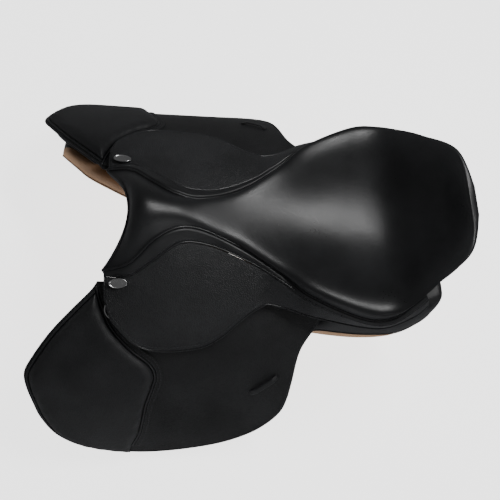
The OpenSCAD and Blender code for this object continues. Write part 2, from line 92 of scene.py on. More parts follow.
def at(points, s):
    """Points of a smooth curve through a list, where s counts the list's own points from 0."""
    p = np.asarray(points, float)
    s = np.clip(np.asarray(s, float), 0, len(p) - 1)
    i = np.minimum(s.astype(int), len(p) - 2)
    u = (s - i).reshape(s.shape + (1,) * (p.ndim - 1))
    a, b, c, d = p[np.maximum(i - 1, 0)], p[i], p[i + 1], p[np.minimum(i + 2, len(p) - 1)]
    return 0.5 * (2 * b + (c - a) * u + (2 * a - 5 * b + 4 * c - d) * u * u
                  + (3 * b - 3 * c + d - a) * u ** 3)


def spline(points, n):
    p = np.asarray(points, float)
    q = np.vstack([p[0], p, p[-1]])
    out = []
    for i in range(len(p) - 1):
        a, b, c, d = q[i], q[i + 1], q[i + 2], q[i + 3]
        for k in range(n):
            u = k / n
            out.append(0.5 * (2 * b + (c - a) * u + (2 * a - 5 * b + 4 * c - d) * u * u
                              + (3 * b - 3 * c + d - a) * u ** 3))
    out.append(p[-1])
    return np.array(out)


def closed_spline(points, n):
    p = np.asarray(points, float)
    full = spline(np.vstack([p[-1], p, p[0], p[1]]), n)
    return full[n:n + len(p) * n]


def even(points, step, closed=False):
    """The same line with its points evenly spaced."""
    p = np.asarray(points, float)
    if closed:
        p = np.vstack([p, p[:1]])
    seg = np.linalg.norm(np.diff(p, axis=0), axis=1)
    s = np.concatenate([[0], np.cumsum(seg)])
    n = max(2, int(round(s[-1] / step)))
    t = np.linspace(0, s[-1], n + 1)
    out = np.stack([np.interp(t, s, p[:, k]) for k in range(p.shape[1])], -1)
    return out[:-1] if closed else out


def ease(u):
    v = np.clip(u, 0, 1)
    return v * v * (3 - 2 * v)


def unit(v):
    return v / np.maximum(np.linalg.norm(v, axis=-1, keepdims=True), 1e-12)


def build(name, verts, faces, material, side=1, mats=None, face_mats=None):
    """A mesh object from points in millimetres; side -1 mirrors it in the middle plane."""
    v = np.asarray(verts, float) * MM
    if side < 0:
        v = v * [-1, 1, 1]
        faces = [tuple(reversed(f)) for f in faces]
    mesh = bpy.data.meshes.new(name)
    mesh.from_pydata(v.tolist(), [], [tuple(int(i) for i in f) for f in faces])
    mesh.validate()
    mesh.polygons.foreach_set("use_smooth", [True] * len(mesh.polygons))
    for m in (mats or [material]):
        mesh.materials.append(m)
    if face_mats is not None:
        mesh.polygons.foreach_set("material_index", [int(k) for k in face_mats])
    mesh.update()
    o = bpy.data.objects.new(name, mesh)
    scene.collection.objects.link(o)
    return o


def grid_faces(n, m, wrap_rows=False, wrap_cols=False, base=0, flip=False):
    rows = range(n if wrap_rows else n - 1)
    cols = range(m if wrap_cols else m - 1)
    out = []
    for i in rows:
        for j in cols:
            a, b = base + i * m + j, base + ((i + 1) % n) * m + j
            c, d = base + ((i + 1) % n) * m + (j + 1) % m, base + i * m + (j + 1) % m
            out.append((a, d, c, b) if flip else (a, b, c, d))
    return out


def pillow_grid(top, low):
    """Closed mesh from two grids whose borders coincide."""
    n, m = top.shape[:2]
    inner = -np.ones((n, m), int)
    inner[1:-1, 1:-1] = n * m + np.arange((n - 2) * (m - 2)).reshape(n - 2, m - 2)
    outer = np.arange(n * m).reshape(n, m)
    inner = np.where(inner < 0, outer, inner)
    verts = np.vstack([top.reshape(-1, 3), low[1:-1, 1:-1].reshape(-1, 3)])
    faces = []
    for i in range(n - 1):
        for j in range(m - 1):
            faces.append((outer[i, j], outer[i, j + 1], outer[i + 1, j + 1], outer[i + 1, j]))
            faces.append((inner[i, j], inner[i + 1, j], inner[i + 1, j + 1], inner[i, j + 1]))
    return verts, faces


def frames(path, closed=False):
    """Directions along a path and two directions across it that don't twist."""
    t = (np.roll(path, -1, 0) - np.roll(path, 1, 0)) if closed else np.gradient(path, axis=0)
    t = unit(t)
    u = np.zeros_like(t)
    ref = np.array([0, 0, 1.0]) if abs(t[0, 2]) < 0.9 else np.array([1.0, 0, 0])
    u[0] = unit(np.cross(np.cross(t[0], ref), t[0]))
    for i in range(1, len(t)):
        w = u[i - 1] - t[i] * (u[i - 1] @ t[i])
        u[i] = unit(w)
    return t, u, np.cross(t, u)


def tube(name, path, r, material, side=1, sides=10, closed=False):
    """Piping: a round tube swept along a path, its open ends rounded off."""
    p = np.asarray(path, float)
    t, u, w = frames(p, closed)
    rad = np.full(len(p), float(r))
    if not closed:
        head = [p[0] - t[0] * r * k for k in (0.95, 0.7, 0.3)]
        tail = [p[-1] + t[-1] * r * k for k in (0.3, 0.7, 0.95)]
        p = np.vstack([head, p, tail])
        u = np.vstack([[u[0]] * 3, u, [u[-1]] * 3])
        w = np.vstack([[w[0]] * 3, w, [w[-1]] * 3])
        cap = [r * math.sqrt(1 - k * k) for k in (0.95, 0.7, 0.3)]
        rad = np.concatenate([cap, rad, cap[::-1]])
    a = np.linspace(0, 2 * math.pi, sides, endpoint=False)
    rings = (p[:, None] + rad[:, None, None] * (np.cos(a)[None, :, None] * u[:, None]
                                               + np.sin(a)[None, :, None] * w[:, None]))
    faces = grid_faces(len(p), sides, wrap_rows=closed, wrap_cols=True, flip=True)
    if not closed:
        faces.append(tuple(reversed(range(sides))))
        faces.append(tuple(range((len(p) - 1) * sides, len(p) * sides)))
    return build(name, rings.reshape(-1, 3), faces, material, side)


def stitches(name, path, material, side=1, length=3.2, gap=1.2, r=0.38):
    """Sewing thread: separate short stitches along a line that lies on the leather."""
    p = even(path, 0.5)
    _, u, w = frames(p)
    pitch = length + gap
    total = len(p) * 0.5
    verts, faces = [], []
    a = np.linspace(0, 2 * math.pi, 6, endpoint=False)
    for k in range(int(total / pitch)):
        i0 = int(k * pitch / 0.5)
        i1 = min(int((k * pitch + length) / 0.5), len(p) - 1)
        base = len(verts)
        for f, sc in ((0, 0.25), (0.18, 0.9), (0.5, 1.1), (0.82, 0.9), (1, 0.25)):
            i = int(round(i0 + (i1 - i0) * f))
            c = p[i]
            for q in a:
                verts.append(c + r * sc * (math.cos(q) * u[i] + math.sin(q) * w[i]))
        faces += grid_faces(5, 6, wrap_cols=True, base=base, flip=True)
        faces.append(tuple(base + np.arange(5, -1, -1)))
        faces.append(tuple(base + 24 + np.arange(6)))
    return build(name, verts, faces, material, side)


def distance_to(points, line, closed=True):
    """Distance from each point to the nearest place on a line."""
    a = np.asarray(line, float)
    b = np.roll(a, -1, 0) if closed else a[1:]
    a = a if closed else a[:-1]
    best = np.full(len(points), 1e9)
    for s in range(0, len(points), 4000):
        p = points[s:s + 4000, None]
        ab = b - a
        u = np.clip(((p - a) * ab).sum(-1) / np.maximum((ab * ab).sum(-1), 1e-12), 0, 1)
        best[s:s + 4000] = np.sqrt((((p - a - u[..., None] * ab)) ** 2).sum(-1)).min(1)
    return best


def inside(points, line):
    """Whether each point lies inside a closed line."""
    x, y = points[:, 0], points[:, 1]
    a, b = np.asarray(line, float), np.roll(line, -1, 0)
    hit = np.zeros(len(points), bool)
    for (x0, y0), (x1, y1) in zip(a, b):
        cross = (y0 > y) != (y1 > y)
        if y1 != y0:
            hit ^= cross & (x < (x1 - x0) * (y - y0) / (y1 - y0) + x0)
    return hit


def domain(outline, step, rings, holes=()):
    """Triangles that fill a closed outline round its holes, with rows of points close to its edge."""
    line = even(outline, step * 0.6, closed=True)
    t = unit(np.roll(line, -1, 0) - np.roll(line, 1, 0))
    area = 0.5 * np.sum(line[:, 0] * np.roll(line[:, 1], -1) - np.roll(line[:, 0], -1) * line[:, 1])
    normal = np.stack([-t[:, 1], t[:, 0]], -1) * (1 if area > 0 else -1)
    pts = [line]
    for d in rings:
        q = line + normal * d
        keep = inside(q, line) & (distance_to(q, line) > 0.93 * d)
        pts.append(q[keep])
    lo, hi = line.min(0), line.max(0)
    gy = np.arange(lo[1], hi[1], step * 0.87)
    g = [[x + (0.5 * step if k % 2 else 0), y] for k, y in enumerate(gy)
         for x in np.arange(lo[0], hi[0], step)]
    g = np.array(g)
    g = g[inside(g, line)]
    last = rings[-1] if len(rings) else 0
    pts.append(g[distance_to(g, line) > last + step * 0.55])
    loose = np.vstack(pts[1:])
    for h in holes:
        near = distance_to(loose, h) < 0.45 * step
        loose = loose[~(inside(loose, h) | near)]
    allp, edges, start = [], [], 0
    for loop in [line] + list(holes):
        n = len(loop)
        allp.append(loop)
        edges += [(start + i, start + (i + 1) % n) for i in range(n)]
        start += n
    allp = np.vstack(allp + [loose])
    out, _, tri, _, _, _ = delaunay_2d_cdt([Vector(p) for p in allp], edges, [], 1, 1e-4)
    out = np.array([(p.x, p.y) for p in out])
    tri = np.array([f for f in tri])
    mid = out[tri].mean(1)
    dist = distance_to(out, line)
    for h in holes:
        gone = inside(mid, h)
        tri, mid = tri[~gone], mid[~gone]
        dist = np.minimum(dist, distance_to(out, h))
    return out, [tuple(f) for f in tri], dist


# ---- shared shape tables, the same as the CAD part's, in millimetres ----

SEAM = [[66, -233, 103], [61, -203, 117], [37, -175, 134], [22, -148, 136], [20, -118, 128],
        [37, -70, 115], [71, -19, 112.5], [100, 17, 118], [126, 77, 119.5], [126.5, 111, 125],
        [111, 135, 144], [96.5, 152, 167], [69, 184, 182], [19, 204, 187]]
MIDDLE = [[0, -204, 134], [0, -199, 150], [0, -184, 155.2], [0, -150, 146], [0, -120, 135.5],
          [0, -74, 122], [0, -26, 111.5], [0, 20, 104.5], [0, 72, 101.5], [0, 124, 106],
          [0, 155, 129], [0, 178, 161], [0, 194, 198], [0, 206, 187]]
RIM = [0, 0, 0, 0, 0.1, 0.2, 0.4, 0.75, 1, 1, 1, 0.6, 0.65, 0.25]
BAND = [[71, -231, 101], [73, -205, 106], [60, -180, 115], [46, -159, 124], [37, -142, 126],
        [35, -122, 122], [40, -93, 115], [57, -53, 110.5], [79, -19, 112], [104.5, 16, 113.5],
        [130, 76, 114.5], [132, 112, 118], [117, 140, 137], [110, 148, 150]]
BAND_AT = [0, 0.93, 1.82, 2.6, 3.2, 3.87, 4.52, 5.33, 6, 7, 8, 9, 10, 10.5]
SKIRT_EDGE = [[100.2, -230, 94.3], [100.2, -205, 94.3], [100.2, -180, 94.3], [100.2, -159, 94.3],
              [100.2, -142, 94.3], [100.2, -122, 94.3], [100.2, -93, 94.3], [100.6, -50, 94],
              [105, -17, 91.5], [118.5, 19, 97], [132, 79, 100.5], [133, 112, 103],
              [123, 142, 119], [114, 153, 136]]
SKIRT_LOBE = [[101, -229], [120, -222], [141, -201], [151, -180], [153, -158], [152, -135],
              [148, -110], [137, -88], [121, -68], [110, -52], [103, -38]]
FLAP_LINE = [[75, -240], [86, -248], [107, -270], [131, -294], [157, -315], [173, -325],
             [188, -324], [206, -317], [222, -309], [240, -292], [252, -265], [259, -225],
             [262, -180], [260, -130], [254, -80], [244, -42], [232, -18], [219, -3], [205, 3],
             [189, 6], [152, 13], [122, 33], [104, 44]]
KNEE_SEAM = [[80, -243], [100, -237], [127, -224], [151, -200], [166, -178], [178, -171],
             [190, -174], [208, -181], [226, -185], [240, -189], [252, -197]]
SWEAT_LINE = [[100, -252], [118, -270], [140, -291], [160, -306], [173, -311], [190, -306],
              [205, -298], [217, -282], [225, -257], [230, -225], [232, -180], [229, -130],
              [222, -85], [211, -52], [196, -34], [182, -27], [146, -18], [116, 0], [95, 8]]
BARREL = (-34.0, -215.0)
FLAP_R, FLAP_T = 324.0, 3.5
SKIRT_BARREL, SKIRT_R = (-12.3, -128.9), 250.0


def seam_out(c):
    """Level directions that point away from the seat, along a seam that runs backwards."""
    d = np.gradient(np.asarray(c, float), axis=0)
    return unit(np.stack([d[:, 1], -d[:, 0], np.zeros(len(d))], -1))


def on_barrel(x, r, centre=BARREL):
    """Height at x of a round sheet of radius r about the barrel's axis."""
    return centre[1] + np.sqrt(np.maximum(r * r - (x - centre[0]) ** 2, 0))


def slope_length(x, r=FLAP_R):
    """Distance down the barrel of the flap's outer face for a plan x on a sheet of radius r."""
    return FLAP_R * np.arcsin((np.asarray(x, float) - BARREL[0]) / r)


def wrap(s, y, r):
    """Points at radius r from distances s down the barrel and y along it."""
    a = s / FLAP_R
    return np.stack([BARREL[0] + r * np.sin(a), y + 0 * s, BARREL[1] + r * np.cos(a)], -1)


def flat_line(points, r=FLAP_R):
    p = np.asarray(points, float)
    return np.stack([slope_length(p[:, 0], r), p[:, 1]], -1)


def barrel_pillow(name, outline, top, low, material, side, step=6.0, rings=(0.5, 1.3, 2.6), holes=()):
    """A leather sheet or pad round the barrel: top and low give the radius at each point."""
    pts, tri, d = domain(outline, step, rings, holes)
    rt = top(pts, d)
    rl = low(pts, d)
    rim = d < 1e-3
    mid = 0.5 * (rt + rl)
    rt = np.where(rim, mid, rt)
    n = len(pts)
    low_id = np.where(rim, np.arange(n), 0)
    keep = np.flatnonzero(~rim)
    low_id[keep] = n + np.arange(len(keep))
    v = np.vstack([wrap(pts[:, 0], pts[:, 1], rt), wrap(pts[keep, 0], pts[keep, 1], rl[keep])])
    faces = []
    for a, b, c in tri:
        p, q, r = pts[a], pts[b], pts[c]
        up = (q[0] - p[0]) * (r[1] - p[1]) - (q[1] - p[1]) * (r[0] - p[0]) > 0
        f = (a, b, c) if up else (c, b, a)
        faces.append(f)
        faces.append((low_id[f[2]], low_id[f[1]], low_id[f[0]]))
    return build(name, v, faces, material, side)


def rounded(d, half, reach):
    """Half thickness at a distance d from an edge that is rounded over a reach."""
    return half * np.sqrt(1 - (1 - np.minimum(d / reach, 1)) ** 2)


def sheet_faces(r, t):
    """Radius of a flat leather sheet's outer and inner face, with its cut edge rounded."""
    def outer(pts, d):
        return r - t / 2 + rounded(d, t / 2, 0.55 * t)

    def inner(pts, d):
        return r - t / 2 - rounded(d, t / 2, 0.55 * t)
    return outer, inner


def strap(name, path, across, width, thick, material, side=1, crown=0.0, cols=13):
    """A flat strip with rounded edges along a path; across points from its left to its right."""
    p = np.asarray(path, float)
    seg = np.linalg.norm(np.diff(p, axis=0), axis=1)
    s = np.concatenate([[0], np.cumsum(seg)])
    end = np.array([0, 0.1, 0.35, 0.8, 1.4])
    n = max(3, int(s[-1] / 2.5))
    at_s = np.concatenate([end, np.linspace(2.2, s[-1] - 2.2, n), s[-1] - end[::-1]])
    q = np.stack([np.interp(at_s, s, p[:, k]) for k in range(3)], -1)
    a = np.broadcast_to(np.asarray(across, float), p.shape)
    a = np.stack([np.interp(at_s, s, a[:, k]) for k in range(3)], -1)
    half = 0.5 * np.interp(at_s, s, np.broadcast_to(np.asarray(width, float), len(p)))
    t = unit(np.gradient(q, axis=0))
    a = unit(a - t * (a * t).sum(1, keepdims=True))
    nrm = np.cross(a, t)
    u = np.sin(np.linspace(-1, 1, cols) * math.pi / 2)
    d = np.minimum(half[:, None] * (1 - np.abs(u))[None], np.minimum(at_s, s[-1] - at_s)[:, None])
    h = rounded(d, thick / 2, 0.7 * thick)[..., None]
    mid = q[:, None] + a[:, None] * (half[:, None] * u[None])[..., None]
    rise = (crown * (1 - u ** 2))[None, :, None] * nrm[:, None] * (h * 2 / thick)
    v, f = pillow_grid(mid + nrm[:, None] * h + rise, mid - nrm[:, None] * h + rise)
    return build(name, v, f, material, side)


def bevel(o, width, segments=2):
    m = o.modifiers.new("edge", "BEVEL")
    m.width, m.segments, m.limit_method = width * MM, segments, "ANGLE"
    m.angle_limit = math.radians(40)
    m.harden_normals = False


# ---- materials ----

class Nodes:
    """Short calls for building a material's node tree."""

    def __init__(self, name):
        self.mat = bpy.data.materials.new(name)
        self.mat.use_nodes = True
        self.tree = self.mat.node_tree
        self.bsdf = self.tree.nodes["Principled BSDF"]
        self.coord = self.add("ShaderNodeTexCoord").outputs["Object"]

    def add(self, kind, inputs=None, **props):
        n = self.tree.nodes.new(kind)
        for k, v in props.items():
            setattr(n, k, v)
        for k, v in (inputs or {}).items():
            self.put(n.inputs[k], v)
        return n

    def put(self, socket, v):
        if isinstance(v, bpy.types.NodeSocket):
            self.tree.links.new(v, socket)
        else:
            socket.default_value = v

    def math(self, op, a, b=0.0, c=0.0):
        n = self.add("ShaderNodeMath", {0: a, 1: b, 2: c}, operation=op)
        return n.outputs[0]

    def noise(self, scale, detail=2.0, rough=0.5, where=None):
        n = self.add("ShaderNodeTexNoise", {"Vector": where or self.coord, "Scale": scale,
                                            "Detail": detail, "Roughness": rough})
        return n.outputs["Fac"]

    def cells(self, scale, feature="F1", where=None):
        n = self.add("ShaderNodeTexVoronoi", {"Vector": where or self.coord, "Scale": scale},
                     feature=feature)
        return n.outputs["Distance"]

    def spread(self, v, lo, hi, a, b):
        n = self.add("ShaderNodeMapRange", {0: v, 1: lo, 2: hi, 3: a, 4: b}, clamp=True)
        return n.outputs[0]

    def mix(self, f, a, b):
        n = self.add("ShaderNodeMix", data_type="RGBA")
        self.put(n.inputs[0], f)
        self.put(n.inputs[6], a)
        self.put(n.inputs[7], b)
        return n.outputs[2]

    def bump(self, height, depth, strength=1.0, base=None):
        n = self.add("ShaderNodeBump", {"Height": height, "Distance": depth, "Strength": strength})
        if base is not None:
            self.put(n.inputs["Normal"], base)
        return n.outputs["Normal"]

    def warped(self, scale, amount):
        n = self.add("ShaderNodeTexNoise", {"Vector": self.coord, "Scale": scale, "Detail": 2.0})
        m = self.add("ShaderNodeVectorMath", {0: n.outputs["Color"], 1: (0.5, 0.5, 0.5)},
                     operation="SUBTRACT")
        k = self.add("ShaderNodeVectorMath", {0: m.outputs[0], 3: amount}, operation="SCALE")
        a = self.add("ShaderNodeVectorMath", {0: self.coord, 1: k.outputs[0]}, operation="ADD")
        return a.outputs[0]

    def finish(self, **inputs):
        for k, v in inputs.items():
            self.put(self.bsdf.inputs[k.replace("_", " ")], v)
        return self.mat


def grey(v, tint=(0.94, 0.97, 1.06)):
    return (v * tint[0], v * tint[1], v * tint[2], 1)


def leather(name, shade, rough, cell, depth, pebble, coat, creases, tint=(0.95, 0.98, 1.06)):
    """Leather: pebbled cells between fine valleys that are painted darker as painted shade, a finer skin,
    soft creases and uneven polish.
    """
    k = Nodes(name)
    w = k.warped(120, 0.0016)
    edge = k.cells(1 / (cell * MM), "DISTANCE_TO_EDGE", w)
    peb = k.spread(edge, 0.0, 0.28, 0.0, 1.0)
    fine = k.cells(2.6 / (cell * MM), "F1", w)
    skin = k.noise(2600, 3, 0.6)
    long_crease = k.noise(60, 4, 0.62)
    height = k.math("ADD", k.math("MULTIPLY", peb, pebble),
                    k.math("ADD", k.math("MULTIPLY", fine, -0.22), k.math("MULTIPLY", skin, 0.16)))
    n1 = k.bump(long_crease, 0.0009, creases)
    n2 = k.bump(height, depth * MM, 1.0, n1)
    big = k.noise(14, 3, 0.55)
    wear = k.noise(420, 2, 0.6)
    lo, hi = grey(shade * 0.72, tint), grey(shade * 1.35, tint)
    col = k.mix(k.spread(big, 0.3, 0.7, 0, 1), lo, hi)
    # painted shade: the colour darkens in the valleys between the pebbles
    col = k.mix(k.math("MULTIPLY", k.spread(edge, 0.0, 0.12, 1, 0), 0.55), col, grey(shade * 0.35, tint))
    rg = k.math("ADD", k.spread(big, 0.3, 0.7, rough - 0.04, rough + 0.05),
                k.spread(wear, 0.3, 0.7, -0.03, 0.05))
    return k.finish(Base_Color=col, Roughness=rg, Normal=n2, Specular_IOR_Level=0.5,
                    Coat_Weight=coat, Coat_Roughness=max(0.12, rough - 0.15))


def thread(name, shade):
    k = Nodes(name)
    w = k.add("ShaderNodeTexWave", {"Vector": k.coord, "Scale": 900.0, "Distortion": 1.5,
                                    "Detail": 1.0}, bands_direction="DIAGONAL")
    n = k.bump(w.outputs["Fac"], 0.00012, 0.8)
    # painted light and shade: the ridges of the twist are lighter and its grooves darker, by the same waves
    # as the bump
    col = k.mix(w.outputs["Fac"], grey(shade * 0.6), grey(shade * 1.3))
    return k.finish(Base_Color=col, Roughness=0.6, Normal=n)


def wood(name):
    k = Nodes(name)
    m = k.add("ShaderNodeMapping", {"Vector": k.coord, "Scale": (1, 0.12, 1)})
    w = k.add("ShaderNodeTexWave", {"Vector": m.outputs[0], "Scale": 90.0, "Distortion": 6.0,
                                    "Detail": 3.0, "Detail Scale": 1.5}, bands_direction="Z")
    pores = k.noise(900, 2, 0.7, m.outputs[0])
    col = k.mix(w.outputs["Fac"], (0.62, 0.42, 0.24, 1), (0.42, 0.26, 0.13, 1))
    col = k.mix(k.spread(pores, 0.55, 0.7, 0, 0.6), col, (0.22, 0.13, 0.07, 1))
    n = k.bump(k.math("ADD", w.outputs["Fac"], pores), 0.0003, 0.5)
    return k.finish(Base_Color=col, Roughness=k.spread(pores, 0.3, 0.7, 0.38, 0.55), Normal=n)


def metal(name, shade, rough, stretch=(1, 1, 1), scratch=0.00003):
    k = Nodes(name)
    m = k.add("ShaderNodeMapping", {"Vector": k.coord, "Scale": stretch})
    fine = k.noise(1500, 3, 0.65, m.outputs[0])
    smear = k.noise(55, 3, 0.6)
    rg = k.math("ADD", k.spread(smear, 0.3, 0.7, rough * 0.75, rough * 1.35),
                k.spread(fine, 0.35, 0.65, -0.02, 0.03))
    tint = (1, 1, 1.01)
    col = k.mix(k.spread(smear, 0.3, 0.75, 0, 1), grey(shade * 0.92, tint), grey(shade, tint))
    return k.finish(Base_Color=col, Metallic=1.0, Roughness=rg, Normal=k.bump(fine, scratch, 0.6))


def painted(name, shade):
    k = Nodes(name)
    peel = k.noise(700, 2, 0.5)
    chips = k.noise(160, 4, 0.7)
    worn = k.spread(chips, 0.68, 0.7, 0, 1)
    col = k.mix(worn, grey(shade), grey(0.3))
    return k.finish(Base_Color=col, Roughness=k.spread(chips, 0.3, 0.7, 0.3, 0.5),
                    Metallic=k.math("MULTIPLY", worn, 0.9), Normal=k.bump(peel, 0.00012, 0.5))


def woven(name, a, b, pitch):
    k = Nodes(name)
    sep = k.add("ShaderNodeSeparateXYZ", {0: k.coord})
    fx = k.math("MULTIPLY", sep.outputs[0], math.pi / (pitch * MM))
    fy = k.math("MULTIPLY", sep.outputs[1], math.pi / (pitch * MM))
    sx, sy = k.math("SINE", fx), k.math("SINE", fy)
    over = k.math("MULTIPLY", sx, sy)
    warp = k.math("MAXIMUM", k.math("ABSOLUTE", sx), k.math("ABSOLUTE", sy))
    fuzz = k.noise(3000, 2, 0.6)
    h = k.math("ADD", k.math("ADD", over, warp), k.math("MULTIPLY", fuzz, 0.4))
    # painted light and shade: the raised squares of the weave are lighter and the sunk ones darker, by the
    # same checker as the bump
    col = k.mix(k.spread(over, -0.6, 0.6, 0, 1), a, b)
    col = k.mix(k.spread(k.noise(30, 3), 0.35, 0.7, 0, 0.35), col, tuple(0.6 * c for c in a[:3]) + (1,))
    return k.finish(Base_Color=col, Roughness=0.85, Normal=k.bump(h, 0.00025, 0.9))


M = {
    "seat": leather("seat_hide", 0.020, 0.33, 1.1, 0.06, 0.35, 0.0, 0.10),
    "smooth": leather("smooth_hide", 0.018, 0.38, 0.9, 0.05, 0.35, 0.0, 0.12),
    "grain": leather("grained_hide", 0.026, 0.47, 2.4, 0.34, 0.9, 0.0, 0.2),
    "flap": leather("flap_hide", 0.016, 0.46, 2.1, 0.24, 0.9, 0.0, 0.2),
    "pad": leather("knee_pad_hide", 0.020, 0.43, 1.8, 0.16, 0.7, 0.0, 0.3),
    "piping": leather("piping_hide", 0.022, 0.30, 0.8, 0.03, 0.3, 0.2, 0.1),
    "lining": leather("lining_hide", 0.022, 0.55, 1.1, 0.10, 0.6, 0.0, 0.3),
    "strap": leather("strap_hide", 0.020, 0.40, 0.8, 0.06, 0.4, 0.1, 0.2),
    "facing": leather("panel_facing_hide", 0.020, 0.40, 1.1, 0.09, 0.6, 0.05, 0.35),
    "tan": leather("panel_hide", 0.24, 0.5, 1.2, 0.10, 0.5, 0.0, 0.4, (1.25, 0.72, 0.38)),
    "tan_pipe": leather("tan_piping_hide", 0.16, 0.45, 0.8, 0.04, 0.4, 0.0, 0.2, (1.2, 0.68, 0.36)),
    "thread": thread("black_thread", 0.05),
    "tan_thread": thread("tan_thread", 0.35),
    "wood": wood("laminated_beech"),
    "tree_steel": painted("black_painted_steel", 0.04),
    "steel": metal("polished_steel", 0.78, 0.14),
    "badge": metal("brushed_badge", 0.72, 0.24, (1, 14, 1), 0.00005),
    "web": woven("cotton_webbing", (0.72, 0.67, 0.55, 1), (0.82, 0.78, 0.68, 1), 1.4),
}

# ---- what a piece rides on ----

def side_name(side):
    return "left" if side > 0 else "right"


def keep(o, how, side, slot, *nodes):
    """Parents a piece to the empty of the body it rides on, or for the flap and skirt folds bakes its place
    into its mesh, and hides the CAD nodes it stands for. The material slot is not used.
    """
    if how == "flap_fold":
        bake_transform(o)
    elif how == "skirt_fold":
        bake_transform(o)
    else:
        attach(o, how)
    if nodes:
        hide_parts(*nodes)


def pipe(name, line, r, how, side, **more):
    """Black piping on one side of the saddle."""
    piece = tube(name + "_" + side_name(side), line, r, M["piping"], side, **more)
    keep(piece, how, side, "piping_leather")


def sew(name, line, how, side, slot, *sizes):
    """Black stitching on one side of the saddle."""
    keep(stitches(name + "_" + side_name(side), line, M["thread"], side, *sizes), how, side, slot)


# ---- seat ----

RIM_RISE, RIM_BULGE, FOAM_DEPTH = 40.0, 6.0, 13.5
ACROSS = np.sin(0.5 * math.pi * np.linspace(-1, 1, 97))


def seat_rows(s):
    """Seam, middle line, rim and outward direction at stations s; the last station rolls off."""
    fine = at(SEAM, np.linspace(0, 13, 391))
    direction = at(seam_out(fine), np.asarray(s) * 30)
    middle = at(MIDDLE, s)
    last = np.clip(np.asarray(s, float) - 12, 0, 1)
    ridge, edge = MIDDLE[12], MIDDLE[13]
    round_off = edge[2] + (ridge[2] - edge[2]) * np.sqrt(1 - last ** 4)
    middle[:, 2] = np.where(last > 0, round_off, middle[:, 2])
    middle[:, 1] = np.where(last > 0, ridge[1] + (edge[1] - ridge[1]) * last, middle[:, 1])
    return at(SEAM, s), middle, at(np.array(RIM, float), s), direction


def seat_surface(s, u, inset):
    """The seat's upper face at stations s and at shares u of the way out to the seam."""
    e, m, k, n = seat_rows(s)
    v = np.abs(u)[None, :]
    bulge = RIM_BULGE * k[:, None] * np.sin(math.pi * v ** 8)
    ex = e[:, None, :2] + (bulge - inset)[..., None] * n[:, None, :2]
    crown = m[:, 2:3] + (e[:, 2:3] + RIM_RISE * k[:, None] - m[:, 2:3]) * v * v
    z = e[:, 2:3] + (crown - e[:, 2:3]) * np.sqrt(np.maximum(1 - v ** 6, 0))
    x = np.sign(u)[None, :] * v * ex[..., 0]
    y = m[:, 1:2] + (ex[..., 1] - m[:, 1:2]) * v * v
    return np.stack([x, y, z], -1)


def head_top(x):
    return np.interp(x, [0, 28, 48, 60], [127, 121, 108, 100])


def make_seat():
    s = np.concatenate([np.linspace(0, 12, 150)[:-1],
                        12 + np.sin(0.5 * math.pi * np.linspace(0, 1, 20))])
    u = ACROSS
    top = seat_surface(s, u, 0.4)
    first = top[0]
    down = np.interp(50 * np.abs(u), [0, 20, 38, 50], [112, 108, 97, 85])
    foot = np.stack([50 * u, -203.2 - 0 * u, down], -1)
    knee = 0.5 * (first + foot) + [0, -5, 3]
    front = np.array([(1 - t) ** 2 * first + 2 * t * (1 - t) * knee + t * t * foot
                      for t in np.linspace(1, 0, 13)[:-1]])
    low = top.copy()
    a = np.abs(top[..., 0])
    mid = at(MIDDLE, s)[:, 2:3] - FOAM_DEPTH
    z = mid + (np.maximum(mid, 95) - mid) * ease((a - 45) / 30)
    z = np.where(top[..., 1] < -160, head_top(a) + 1, z)
    low[..., 2] = np.minimum(top[..., 2] - 1.2, z)
    low[..., 0] *= 0.965
    low[..., 1] = top[..., 1] - 2.0 * ease((top[..., 1] - 150) / 50)
    v, f = pillow_grid(np.concatenate([front, top]), np.concatenate([front + [0, 0.9, 0], low]))
    o = build("seat", v, f, M["seat"])
    keep(o, "root", 1, "smooth_leather", "seat_cover", "seat_foam")


def make_seat_piping():
    seam = at(SEAM, np.linspace(0, 13, 261))
    seam = np.vstack([seam, (seam * [-1, 1, 1])[::-1]])
    front = seat_surface(np.array([0.0]), ACROSS, 0.4)[0, 3:-3] + [0, -0.5, 0.2]
    for name, line in (("seat_piping", seam), ("seat_piping_front", front)):
        o = tube(name, even(line, 2.5), 1.5, M["piping"], sides=12)
        keep(o, "root", 1, "piping_leather", "seat_welt_left", "seat_welt_right")


make_seat()
make_seat_piping()

# ---- skirts ----

band_s = np.linspace(0, 13, 196)
band_line = at(BAND, band_s)
band_seam = at(SEAM, np.interp(band_s, np.arange(14), BAND_AT))
band_dir = seam_out(band_seam)
edge_line = at(SKIRT_EDGE, band_s)


def skirt_rows():
    """Rows of points from the second seam to the skirt's lower outline."""
    lobe = spline(SKIRT_LOBE, 24)
    rows = []
    for b, e in zip(band_line + 0.9 * band_dir, edge_line):
        t = np.linspace(0, 1, 25)[:, None]
        upper = b + (e - b) * t
        upper[:, 2] += (7 * t * (1 - t))[:, 0]
        if lobe[0, 1] < e[1] < lobe[-1, 1]:
            x1 = np.interp(e[1], lobe[:, 1], lobe[:, 0])
            if x1 > e[0] + 0.3:
                x = np.linspace(e[0], x1, 24)[1:]
                low = np.stack([x, np.full_like(x, e[1]), on_barrel(x, SKIRT_R, SKIRT_BARREL)], -1)
                upper = np.vstack([upper, low])
        rows.append(upper)
    return rows


